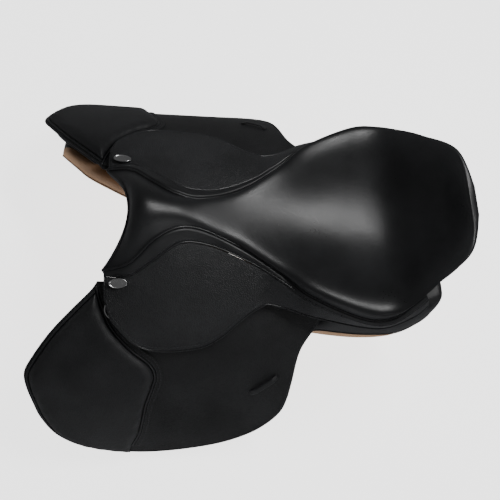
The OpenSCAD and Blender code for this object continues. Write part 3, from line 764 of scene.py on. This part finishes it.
def make_skirt(side):
    rows = skirt_rows()
    fr = np.concatenate([np.linspace(0, 0.93, 30), [0.945, 0.96, 0.973, 0.985, 0.994, 1.0]])
    fr[1] = 0.004
    fr = np.sort(np.concatenate([fr, [0.012]]))
    out = []
    for r in rows:
        s = np.concatenate([[0], np.cumsum(np.linalg.norm(np.diff(r, axis=0), axis=1))])
        n = len(fr)
        d = fr * s[-1]
        near = s[-1] - np.array([3.2, 2.2, 1.3, 0.6, 0.15, 0])
        if s[-1] > 12:
            d[-6:] = near
            d[3:-6] = np.linspace(d[2] + 1, s[-1] - 4.6, n - 9)
        out.append(np.stack([np.interp(d, s, r[:, k]) for k in range(3)], -1))
    p = np.array(out)
    for _ in range(3):
        around = p[:-2, 1:-1] + p[2:, 1:-1] + p[1:-1, :-2] + p[1:-1, 2:]
        p[1:-1, 1:-1] = 0.5 * p[1:-1, 1:-1] + 0.125 * around
    di = np.gradient(p, axis=0)
    dj = np.gradient(p, axis=1)
    nrm = unit(np.cross(dj, di))
    seg = np.linalg.norm(np.diff(p, axis=1), axis=2)
    s = np.concatenate([np.zeros((len(p), 1)), np.cumsum(seg, 1)], 1)
    to_edge = np.minimum(s[:, -1:] - s, s * 2)
    ends = np.minimum(np.arange(len(p)), len(p) - 1 - np.arange(len(p)))[:, None] * 1.2
    h = rounded(np.minimum(to_edge, ends), 1.75, 2.2)
    mid = p - nrm * 1.75
    v, f = pillow_grid(mid + nrm * h[..., None], mid - nrm * h[..., None])
    name = side_name(side)
    o = build("skirt_sheet_" + name, v, f, M["grain"], side)
    keep(o, "skirt_fold", side, "grained_leather", "skirt_upper_" + name, "skirt_" + name)
    return p


def make_band(side):
    name = side_name(side)
    a = band_seam + 1.0 * band_dir
    b = band_line - 0.5 * band_dir
    w = np.linspace(0, 1, 13)
    width = np.linalg.norm(b - a, axis=1)[:, None]
    crown = np.sqrt(np.maximum(1 - (2 * w - 1) ** 4, 0))[None, :, None]
    arch = np.minimum(2.6, 0.16 * width + 0.8)[..., None] * crown
    along = a[:, None] + (b - a)[:, None] * w[None, :, None]
    up = unit(np.cross(b - a, np.gradient(a, axis=0)))
    up = np.where(up[:, 2:3] < 0, -up, up)[:, None]
    top = along + arch * up
    low = along - 1.6 * up * np.sqrt(np.maximum(1 - (2 * w - 1) ** 8, 0))[None, :, None]
    v, f = pillow_grid(top, low)
    o = build("seat_band_" + name, v, f, M["smooth"], side)
    keep(o, "root", side, "smooth_leather", "skirt_band_" + name)
    pipe("band_piping", even(band_line + [0, 0, 0.3], 2.5), 1.25, "root", side)
    line = top[:, 10] + 0.1 * up[:, 0]
    sel = width[:, 0] > 9
    sew("band_thread", even(line[sel], 1.0), "root", side, "piping_leather", 2.6, 1.2, 0.3)


def trim_skirt(side, grid):
    """Piping along the skirt's front and lower edges, and stitching inside the lower edge."""
    border = even(np.vstack([grid[0], grid[:, -1]]), 2.0)
    pipe("skirt_piping", border - [0, 0, 1.3], 1.15, "skirt_fold", side)
    deep = np.linalg.norm(grid[:, -1] - grid[:, -10], axis=1) > 3
    path = []
    for row in grid[deep & (grid[:, -1, 1] < -42), ::-1]:
        s = np.concatenate([[0], np.cumsum(np.linalg.norm(np.diff(row, axis=0), axis=1))])
        path.append([np.interp(4.6, s, row[:, k]) for k in range(3)])
    line = even(np.array(path), 1.0) + [0, 0, 0.15]
    sew("skirt_thread", line, "skirt_fold", side, "grained_leather")


for side in (1, -1):
    make_band(side)
    trim_skirt(side, make_skirt(side))

# ---- badges ----

def make_badge(side):
    """Plain oval plate with a raised rim, let into the skirt's front corner."""
    n = 64
    a = np.linspace(0, 2 * math.pi, n, endpoint=False)
    profile = [(0.0, 1.05), (0.35, 1.05), (0.72, 1.02), (0.80, 1.0), (0.84, 1.25), (0.90, 1.62), (0.95, 1.6),
               (0.985, 1.3), (1.0, 0.8), (1.0, 0.0), (0.9, 0.0), (0.0, 0.0)]
    verts = [(0, 0, profile[0][1])]
    for k, z in profile[1:-1]:
        verts += [(6 * k * math.cos(q), 11 * k * math.sin(q), z) for q in a]
    verts.append((0, 0, 0))
    rows = len(profile) - 2
    faces = [(0, 1 + i, 1 + (i + 1) % n) for i in range(n)]
    faces += grid_faces(rows, n, wrap_cols=True, base=1)
    last = len(verts) - 1
    faces += [(last, last - n + (i + 1) % n, last - n + i) for i in range(n)]
    turn = Matrix.Rotation(math.radians(4), 3, "Z") @ Matrix.Rotation(math.radians(20), 3, "Y")
    v = [turn @ Vector(p) + Vector((82, -215, 105)) for p in verts]
    o = build("badge_plate_" + side_name(side), [tuple(p) for p in v], faces, M["badge"], side)
    keep(o, "root", side, "badge_metal", "badge_" + side_name(side))


# ---- flaps and knee pads ----

PAD_T, PAD_REACH = 8.8, 15.0
flap_outline = flat_line(np.vstack([spline(FLAP_LINE, 10), [[75, 44], [75, -68], [102, -68], [102, -184],
                                                            [75, -184]]]))
flap_edge = flat_line(spline(FLAP_LINE, 12))
knee_line = flat_line(spline(KNEE_SEAM, 12))


def offset(line, d):
    """The line moved to its left by d, without the loops that tight corners would make."""
    p = even(line, 1.5)
    t = unit(np.gradient(p, axis=0))
    q = p + d * np.stack([-t[:, 1], t[:, 0]], -1)
    return q[distance_to(q, p, closed=False) > abs(d) * 0.96]


def lift(line, r):
    return wrap(line[:, 0], line[:, 1], r)


flap_loop = np.vstack([offset(flap_edge, 2.2), flat_line([[75, 44], [75, -240]])])
front_edge = offset(flap_edge, 6.2)
ahead = front_edge[:, 1] < np.interp(front_edge[:, 0], knee_line[:, 0], knee_line[:, 1]) - 0.8
pad_front = front_edge[ahead]
pad_loop = np.vstack([front_edge, flat_line([[75, 44], [75, -240]])])
pad_seam = knee_line[inside(knee_line, pad_loop)]
pad_outline = np.vstack([pad_seam, pad_front[::-1]])


def pad_top(pts, d):
    puff = 1 - (1 - np.minimum(d / PAD_REACH, 1)) ** 2.4
    swell = 0.94 + 0.06 * np.sin(pts[:, 0] / 31.0) * np.cos(pts[:, 1] / 27.0 + 0.6)
    wrinkle = 0.25 * np.exp(-((d - 5) / 4.0) ** 2) * np.sin(pts[:, 0] / 3.1 + pts[:, 1] / 4.3)
    return FLAP_R + 0.5 + PAD_T * np.sqrt(puff) * swell + wrinkle


def pad_low(pts, d):
    return FLAP_R + 0.15 + 0 * d


def make_flap(side):
    name = side_name(side)
    outer, inner = sheet_faces(FLAP_R, FLAP_T)
    o = barrel_pillow("flap_sheet_" + name, flap_outline, outer, inner, M["flap"], side, 6.0)
    keep(o, "flap_fold", side, "grained_leather", "flap_upper_" + name, "flap_" + name)
    pad = barrel_pillow("knee_pad_cover_" + name, pad_outline, pad_top, pad_low, M["pad"], side, 4.0,
                        (0.3, 0.9, 1.8, 3.0, 4.6, 6.6, 9.0))
    keep(pad, "flap_fold", side, "smooth_leather", "knee_pad_top_" + name, "knee_pad_" + name)
    front = even(offset(pad_front, -1.5), 2.0)
    pipe("pad_piping_front", lift(front, FLAP_R + 1.1), 1.5, "flap_fold", side)
    rear = offset(knee_line, 1.8)
    rear = even(rear[inside(rear, flap_loop)], 2.0)
    pipe("pad_piping_rear", lift(rear, FLAP_R + 1.0), 1.6, "flap_fold", side)
    a, b = offset(knee_line, 3.4), offset(knee_line, 11.4)
    a, b = a[inside(a, flap_loop)], b[inside(b, flap_loop)]
    outer, inner = sheet_faces(FLAP_R + 1.5, 1.4)
    strip = barrel_pillow("pad_border_" + name, np.vstack([a, b[::-1]]), outer, inner, M["flap"], side, 3.0,
                          (0.4, 1.0))
    keep(strip, "flap_fold", side, "grained_leather")
    for k, d in enumerate((5.3, 9.6)):
        line = offset(knee_line, d)
        line = line[inside(line, flap_loop)]
        line = lift(line, FLAP_R + 1.65)
        sew("pad_border_thread_%d" % k, line, "flap_fold", side, "piping_leather")
    line = lift(offset(flap_edge, 3.4), FLAP_R + 0.12)
    sew("flap_thread", line, "flap_fold", side, "grained_leather")


KEEPER_AT, KEEPER_TURN, KEEPER_SEWN = (188.5, -30.5), 119, 16.6


def make_keeper(side):
    """Stitched leather loop on the flap for the girth strap's end."""
    name = side_name(side)
    turn = math.radians(KEEPER_TURN)
    along = np.array([math.cos(turn), math.sin(turn)])
    over = np.array([-along[1], along[0]])
    a = np.linspace(-19, 19, 77)
    plan = np.array(KEEPER_AT) + a[:, None] * along
    flat = flat_line(plan)
    r = FLAP_R + 0.95 + 2.9 * ease((17.5 - np.abs(a)) / 6.5)
    path = wrap(flat[:, 0], flat[:, 1], r)
    wide = flat_line(plan + over * 0.5)
    across = -(wrap(wide[:, 0], wide[:, 1], r) - path)
    o = strap("keeper_loop_" + name, path, across, 7.2, 1.8, M["strap"], side, crown=0.35)
    keep(o, "flap_" + name, side, "smooth_leather", "keeper_" + name)
    for k, e in enumerate((-1, 1)):
        c = np.linspace(-2.3, 2.3, 12)
        plan = np.array(KEEPER_AT) + e * KEEPER_SEWN * along + c[:, None] * over
        flat = flat_line(plan)
        line = wrap(flat[:, 0], flat[:, 1], FLAP_R + 0.95 + 2.9 * ease(0.9 / 6.5) + 1.15)
        sew("keeper_thread_%d" % k, line, "flap_" + name, side, "smooth_leather", 1.6, 0.6, 0.3)


# ---- under the flap ----

SWEAT_R, SWEAT_T, STRAP_R, STRAP_T, STRAP_W = 302.0, 3.0, 310.0, 4.0, 25.0
BILLET_Y = (-156.0, -117.0, -78.0)
BLOCK_LINE = [[152, -280], [172, -297], [194, -294], [211, -279], [219, -253], [212, -236],
              [194, -232], [172, -243], [155, -260]]
STRAP_X, HOLES, FIRST_HOLE, HOLE_TURN, HOLE_R = (104.0, 243.0), 8, 36.0, 3.5, 2.5
GUARD_X = (155.0, 186.0)


def circle(x, y, rx, ry, n=20):
    a = np.linspace(0, 2 * math.pi, n, endpoint=False)
    return np.stack([x + rx * np.cos(a), y + ry * np.sin(a)], -1)


def make_sweat_flap(side):
    name = side_name(side)
    outline = flat_line(spline(SWEAT_LINE, 8), SWEAT_R)
    outer, inner = sheet_faces(SWEAT_R, SWEAT_T)
    o = barrel_pillow("sweat_flap_sheet_" + name, outline, outer, inner, M["lining"], side, 7.0)
    keep(o, "root", side, "lining_leather", "sweat_flap_" + name)
    line = lift(offset(outline, 4.0), SWEAT_R + 0.12)
    sew("sweat_flap_thread", line, "root", side, "lining_leather")
    r0, r1 = SWEAT_R + 0.4, FLAP_R - FLAP_T - 1.0
    line = flat_line(closed_spline(BLOCK_LINE, 8), 0.5 * (r0 + r1))

    def top(pts, d):
        return r0 + (r1 - r0) * np.sqrt(1 - (1 - np.minimum(d / 20, 1)) ** 2.2)

    def low(pts, d):
        return r0 + 0 * d
    block = barrel_pillow("knee_block_cover_" + name, line, top, low, M["facing"], side, 4.0,
                          (0.3, 0.9, 1.9, 3.4, 5.4, 8))
    keep(block, "root", side, "smooth_leather", "knee_block_" + name)
    edge = even(offset(np.vstack([line, line[:1]]), 0.2), 2.0)
    pipe("knee_block_piping", lift(edge, r0 + 1.2), 1.1, "root", side, closed=True)


def make_pocket(side):
    name = side_name(side)
    r1, wall = FLAP_R - FLAP_T - 0.3, 133.0
    s = slope_length([110, 137], 318)
    box = np.array([[s[0], -242], [s[1], -242], [s[1], -204], [s[0], -204]])
    edge = slope_length(wall, 318)

    def top(pts, d):
        return r1 - 0.8 + rounded(d, 0.8, 1.0)

    def low(pts, d):
        sheet = r1 - 0.8 - rounded(d, 0.8, 1.0)
        return sheet + (SWEAT_R + 0.6 - sheet) * ease((pts[:, 0] - edge) / 1.6) * (d > 1e-3)
    o = barrel_pillow("point_pocket_leather_" + name, box, top, low, M["lining"], side, 3.0, (0.3, 0.8))
    keep(o, "root", side, "lining_leather", "point_pocket_" + name)


def strap_path(x0, x1, r, y):
    s = np.linspace(slope_length(x0, r), slope_length(x1, r), 60)
    return wrap(s, y + 0 * s, r)


def make_straps(side):
    name = side_name(side)
    for k, y in enumerate(BILLET_Y):
        path = strap_path(76, 114, STRAP_R - STRAP_T - 1.1, y)
        w = strap("billet_web_%d_%s" % (k, name), path, (0, -1, 0), STRAP_W, 1.3, M["web"], side)
        keep(w, "root", side, "webbing", *(["billet_webs_" + name] if k == 0 else []))
        s0, s1 = slope_length(STRAP_X[0], STRAP_R), slope_length(STRAP_X[1], STRAP_R)
        h = STRAP_W / 2
        outline = [[s0, -h], [s1 - 13, -h], [s1 - 6, -0.8 * h], [s1 - 1.6, -0.42 * h], [s1, 0],
                   [s1 - 1.6, 0.42 * h], [s1 - 6, 0.8 * h], [s1 - 13, h], [s0, h]]
        outline = np.array(outline) + [0, y]
        holes = []
        for i in range(HOLES):
            s = FLAP_R * math.radians(FIRST_HOLE + i * HOLE_TURN)
            holes.append(circle(s, y, HOLE_R * FLAP_R / STRAP_R, HOLE_R))

        def outer(pts, d):
            return STRAP_R - 2 + rounded(d, 2.0, 1.4)

        def inner(pts, d):
            return STRAP_R - 2 - rounded(d, 2.0, 1.4)
        o = barrel_pillow("girth_strap_%d_%s" % (k, name), outline, outer, inner, M["strap"], side,
                          3.0, (0.25, 0.8), holes)
        keep(o, "billets_" + name, side, "smooth_leather", *(["billets_" + name] if k == 0 else []))
        inset = 3.0
        seam = np.array([[s0 + 4, y - h + inset], [s1 - 13, y - h + inset], [s1 - 6.5, y - 0.8 * h + inset],
                        [s1 - 4.0, y], [s1 - 6.5, y + 0.8 * h - inset], [s1 - 13, y + h - inset],
                        [s0 + 4, y + h - inset]])
        sew("girth_strap_thread_%d" % k, lift(seam, STRAP_R + 0.1), "billets_" + name, side,
            "smooth_leather", 3.4, 1.4, 0.35)


def round_rect(cy, cr, hy, hr, r, n=6):
    pts = []
    for sy, sr, a0 in ((1, 1, 0), (-1, 1, 90), (-1, -1, 180), (1, -1, 270)):
        for k in range(n + 1):
            a = math.radians(a0 + 90 * k / n)
            pts.append((cy + sy * (hy - r) + r * math.cos(a), cr + sr * (hr - r) + r * math.sin(a)))
    return np.array(pts)


def make_guard(side):
    """The sleeve that slides on the three straps: one leather body with three slots."""
    name = side_name(side)
    r0, r1 = STRAP_R - STRAP_T - 2.2, STRAP_R + 3.0
    s0, s1 = slope_length(GUARD_X[0], STRAP_R), slope_length(GUARD_X[1], STRAP_R)
    y0, y1 = BILLET_Y[0] - 16.2, BILLET_Y[2] + 16.2
    cuts = [(0.0, 1.0), (0.25, 0.5), (0.8, 0.12), (1.6, 0.0)]
    rows = [(s0 + d, k) for d, k in cuts] + [(s, 0.0) for s in np.linspace(s0 + 4, s1 - 4, 9)]
    rows += [(s1 - d, k) for d, k in cuts[::-1]]
    loops_at = []
    for s, k in rows:
        outer = round_rect((y0 + y1) / 2, (r0 + r1) / 2, (y1 - y0) / 2 - k, (r1 - r0) / 2 - k, 2.6)
        slots = [round_rect(y, STRAP_R - STRAP_T / 2 + 0.1, STRAP_W / 2 + 1.2 + 0.3 * k,
                            STRAP_T / 2 + 0.6 + 0.3 * k, 0.8) for y in BILLET_Y]
        loops_at.append([outer] + slots)
    verts, faces, base = [], [], []
    for (s, k), loops in zip(rows, loops_at):
        ids = []
        for loop in loops:
            ids.append(len(verts))
            verts += list(wrap(np.full(len(loop), s), loop[:, 0], loop[:, 1]))
        base.append(ids)
    for i in range(len(rows) - 1):
        for j, loop in enumerate(loops_at[0]):
            n = len(loop)
            a, b = base[i][j], base[i + 1][j]
            for q in range(n):
                f = (a + q, a + (q + 1) % n, b + (q + 1) % n, b + q)
                faces.append(f if j == 0 else f[::-1])
    for i, out in ((0, True), (len(rows) - 1, False)):
        pts, edges = [], []
        for j, loop in enumerate(loops_at[i]):
            n, st = len(loop), len(pts)
            pts += [Vector(p) for p in loop]
            edges += [(st + q, st + (q + 1) % n) for q in range(n)]
        res, _, tri, orig, _, _ = delaunay_2d_cdt(pts, edges, [], 1, 1e-6)
        res = np.array([(p.x, p.y) for p in res])
        for f in tri:
            c = res[list(f)].mean(0, keepdims=True)
            if any(inside(c, loops_at[i][j])[0] for j in (1, 2, 3)):
                continue
            ids = [base[i][0] + orig[q][0] for q in f]
            faces.append(tuple(ids if out else ids[::-1]))
    o = build("buckle_guard_sleeve_" + name, verts, faces, M["strap"], side)
    keep(o, "guard_" + name, side, "smooth_leather", "buckle_guard_" + name)
    for k, d in enumerate((3.0, -3.0)):
        s = (s0 if d > 0 else s1) + d
        line = np.array([[s, y0 + 4], [s, y1 - 4]])
        line = lift(even(line, 2), r1 + 0.1)
        sew("buckle_guard_thread_%d" % k, line, "guard_" + name, side, "smooth_leather")


# ---- panels, linings and webs ----

PANEL = [[-300, 130, 158, 0.45], [-288, 117, 164, 0.62], [-268, 98, 167, 0.72], [-240, 79, 168, 0.76],
         [-205, 58, 168, 0.8], [-160, 39, 162, 0.92], [-100, 32, 150, 1], [-40, 31, 130, 1],
         [10, 31, 120, 1], [60, 32, 126, 1], [100, 33, 129, 1], [140, 36, 127, 0.97], [170, 42, 115, 0.9],
         [190, 52, 102, 0.78], [203, 66, 86, 0.5]]
PANEL_R, CANTLE_Y = 298.5, 86.0


def blend_num(a, b, u):
    return a + (b - a) * u


def panel_top(x, y):
    rear = blend_num(blend_num(60, 78, ease((x - 99) / 14)), 108, ease((x - 108) / 10))
    behind = ease((np.hypot(x, y - CANTLE_Y) - 103) / 10) * (1 - ease((x - 104) / 14))
    rear = rear + ease((y - 125) / 30) * 34 * behind
    front = on_barrel(x, blend_num(292, PANEL_R, ease((x - 96) / 9)))
    return blend_num(front, rear, ease((y - 22) / 40))


def panel_low(x, y):
    front = on_barrel(x, 292) - blend_num(60, 30, ease((x - 80) / 80))
    return blend_num(front, 3 - 0.25 * (x - 35) + 20 * ease((y - 100) / 130), ease((y + 60) / 120))


def make_panel(side):
    name = side_name(side)
    stations = [[0, 0.03, 0.1, 0.2], np.linspace(0.33, 13.7, 104), [13.82, 13.92, 13.98, 14]]
    rows = at(PANEL, np.concatenate(stations))
    y = rows[:, 0:1]
    u = (0.5 - 0.5 * np.cos(np.linspace(0, math.pi, 45)))[None]
    x = rows[:, 1:2] + (rows[:, 2:3] - rows[:, 1:2]) * u
    side_off = np.sqrt(np.maximum(1 - np.abs(2 * u - 1) ** 4, 0))
    away = np.minimum(y - y[0], y[-1] - y)
    end_off = np.sqrt(1 - (1 - np.minimum(away / 14.0, 1)) ** 2)
    off = side_off * end_off
    a, b = panel_top(x, y), panel_low(x, y)
    c = blend_num(blend_num(b, a, 0.62), 50 + 0 * a, ease(y / 60))
    belly = blend_num(a, b, rows[:, 3:4])
    lumps = 1.0 + 0.008 * np.sin(y / 19.0) * np.sin(x / 13.0)
    top = np.stack([x, y + 0 * x, c + (a - c) * off], -1)
    low = np.stack([x, y + 0 * x, c + (belly - c) * off * lumps], -1)
    v, f = pillow_grid(top, low)
    across = x.shape[1] - 1
    mats = [int(k % 2 == 1 or (k // 2) % across < 0.4 * across) for k in range(len(f))]
    o = build("panel_body_" + name, v, f, None, side, [M["facing"], M["tan"]], mats)
    keep(o, "root", side, "tan_leather", "panel_" + name)
    pipe("panel_piping_outer", even(top[2:-2, -1], 2.5), 1.3, "root", side)
    o = tube("panel_piping_inner_" + name, even(top[2:-2, 0], 2.5), 1.2, M["tan_pipe"], side)
    keep(o, "root", side, "tan_leather")


def make_lining():
    y = np.linspace(-168, 187, 90)
    path = np.stack([0 * y, y, 70.8 + 0 * y], -1)
    o = strap("gullet_lining_sheet", path, (1, 0, 0), 58, 1.2, M["tan"], 1, cols=25)
    keep(o, "root", 1, "tan_leather", "gullet_lining")
    for k, x in enumerate((-26.0, 26.0)):
        line = np.stack([x + 0 * y, y, 71.45 + 0 * y], -1)[3:-3]
        keep(stitches("gullet_thread_%d" % k, line, M["tan_thread"], 1), "root", 1, "tan_leather")


def make_cantle_facing():
    th = np.radians(np.linspace(-60, 60, 121))[:, None]
    heights = np.array([[0, 181], [40, 180], [66, 175], [94, 159.5], [108, 141], [120, 118]])

    def radius(z):
        return np.interp(z, [92, 150, 186], [104.5, 113.5, 116])
    z_top = np.full_like(th, 150.0)
    for _ in range(30):
        x = np.abs(radius(z_top) * np.sin(th))
        z_top = 0.5 * z_top + 0.5 * np.interp(x, heights[:, 0], heights[:, 1])
    k = 0.5 - 0.5 * np.cos(np.linspace(0, math.pi, 33))[None]
    foot = 63 + 10 * (1 - ease((np.abs(np.degrees(th)) - 14) / 6))
    z = foot + (z_top - foot) * k
    r = radius(z)
    length = np.minimum(k * (z_top - foot), (1 - k) * (z_top - foot))
    ends = (np.radians(60) - np.abs(th)) * 108
    d = np.minimum(length, ends)
    h = rounded(d, 1.0, 1.4)
    puff = 1.1 * ease(length / 14) * ease(ends / 14)

    def place(rr):
        return np.stack([rr * np.sin(th), CANTLE_Y + rr * np.cos(th), z + 0 * rr], -1)
    v, f = pillow_grid(place(r - h), place(r + h + puff))
    o = build("cantle_facing_leather", v, [g[::-1] for g in f], M["facing"])
    keep(o, "root", 1, "smooth_leather", "cantle_facing")


def make_webs():
    m = at(MIDDLE, np.linspace(1.34, 11.3, 90))
    z = m[:, 2] - 16.3
    z = np.where((m[:, 1] > 10) & (m[:, 1] < 135), np.minimum(z, 85.2), z) - 0.8
    path = np.stack([0 * z, m[:, 1], z], -1)
    o = strap("seat_web_lengthwise", path, (1, 0, 0), 50, 1.6, M["web"])
    keep(o, "root", 1, "webbing", "seat_web_long")
    for k, y in enumerate((50.0, 100.0)):
        x = np.linspace(-68, 68, 60)
        path = np.stack([x, y + 0 * x, 87.4 + 0 * x], -1)
        keep(strap("seat_web_across_%d" % k, path, (0, -1, 0), 44, 1.0, M["web"]), "root", 1, "webbing",
             *(["seat_webs_cross"] if k == 0 else []))


for side in (1, -1):
    make_badge(side)
    make_flap(side)
    make_keeper(side)
    make_sweat_flap(side)
    make_pocket(side)
    make_straps(side)
    make_guard(side)
    make_panel(side)
make_lining()
make_cantle_facing()
make_webs()

# ---- carried-over CAD nodes ----

FINISH = {"tree_head": "wood", "cantle_board": "wood", "rail": "wood", "head_plate": "tree_steel",
          "gullet_plate": "tree_steel", "spring": "tree_steel", "head_rivets": "steel", "bar_rivets": "steel",
          "catch_pins": "steel", "stirrup_bar": "steel", "bar_catch": "steel", "d_ring": "steel",
          "d_clip": "steel"}
EDGE = {"wood": 1.0, "tree_steel": 0.4, "steel": 0.35}
for base, kind in FINISH.items():
    for node in (base, base + "_left", base + "_right"):
        o = bpy.data.objects.get(node)
        if o is None or o.type != "MESH":
            continue
        if o.material_slots:
            for s in o.material_slots:
                s.material = M[kind]
        else:
            o.data.materials.append(M[kind])
        if base not in ("d_ring", "catch_pins"):
            bevel(o, EDGE[kind])

# ---- light and floor ----

def area_light(name, place, target, size, power):
    data = bpy.data.lights.new(name, "AREA")
    data.shape, data.size, data.size_y = "RECTANGLE", size[0], size[1]
    data.energy = power
    lamp = bpy.data.objects.new(name, data)
    scene.collection.objects.link(lamp)
    lamp.location = place
    lamp.rotation_mode = "QUATERNION"
    lamp.rotation_quaternion = (Vector(target) - Vector(place)).to_track_quat("-Z", "Y")


area_light("strip", (-0.27, 0.47, 1.25), (0.0, 0.0, 0.08), (0.70, 0.16), 7)
area_light("soft", (-0.25, 0.20, 0.94), (0.0, 0.0, 0.08), (0.80, 0.45), 0.3)
area_light("side", (0.87, 0.65, 0.72), (0.0, 0.0, 0.05), (0.40, 0.30), 0.9)
world = bpy.data.worlds.new("studio")
scene.world = world
world.use_nodes = True
back = world.node_tree.nodes["Background"]
back.inputs[0].default_value = (1, 1, 1, 1)
back.inputs[1].default_value = 0.10

low = before[0][2] - 0.004
floor = bpy.data.meshes.new("floor")
floor.from_pydata([(-6, -6, low), (6, -6, low), (6, 6, low), (-6, 6, low)], [], [(0, 1, 2, 3)])
stage = bpy.data.objects.new("floor", floor)
scene.collection.objects.link(stage)
paper = Nodes("paper")
grain = paper.noise(300, 2)
floor.materials.append(paper.finish(Base_Color=(0.93, 0.93, 0.93, 1), Roughness=0.9,
                                    Normal=paper.bump(grain, 0.0001, 0.2),
                                    Emission_Color=(1, 1, 1, 1), Emission_Strength=2.5))
stage.visible_glossy = False
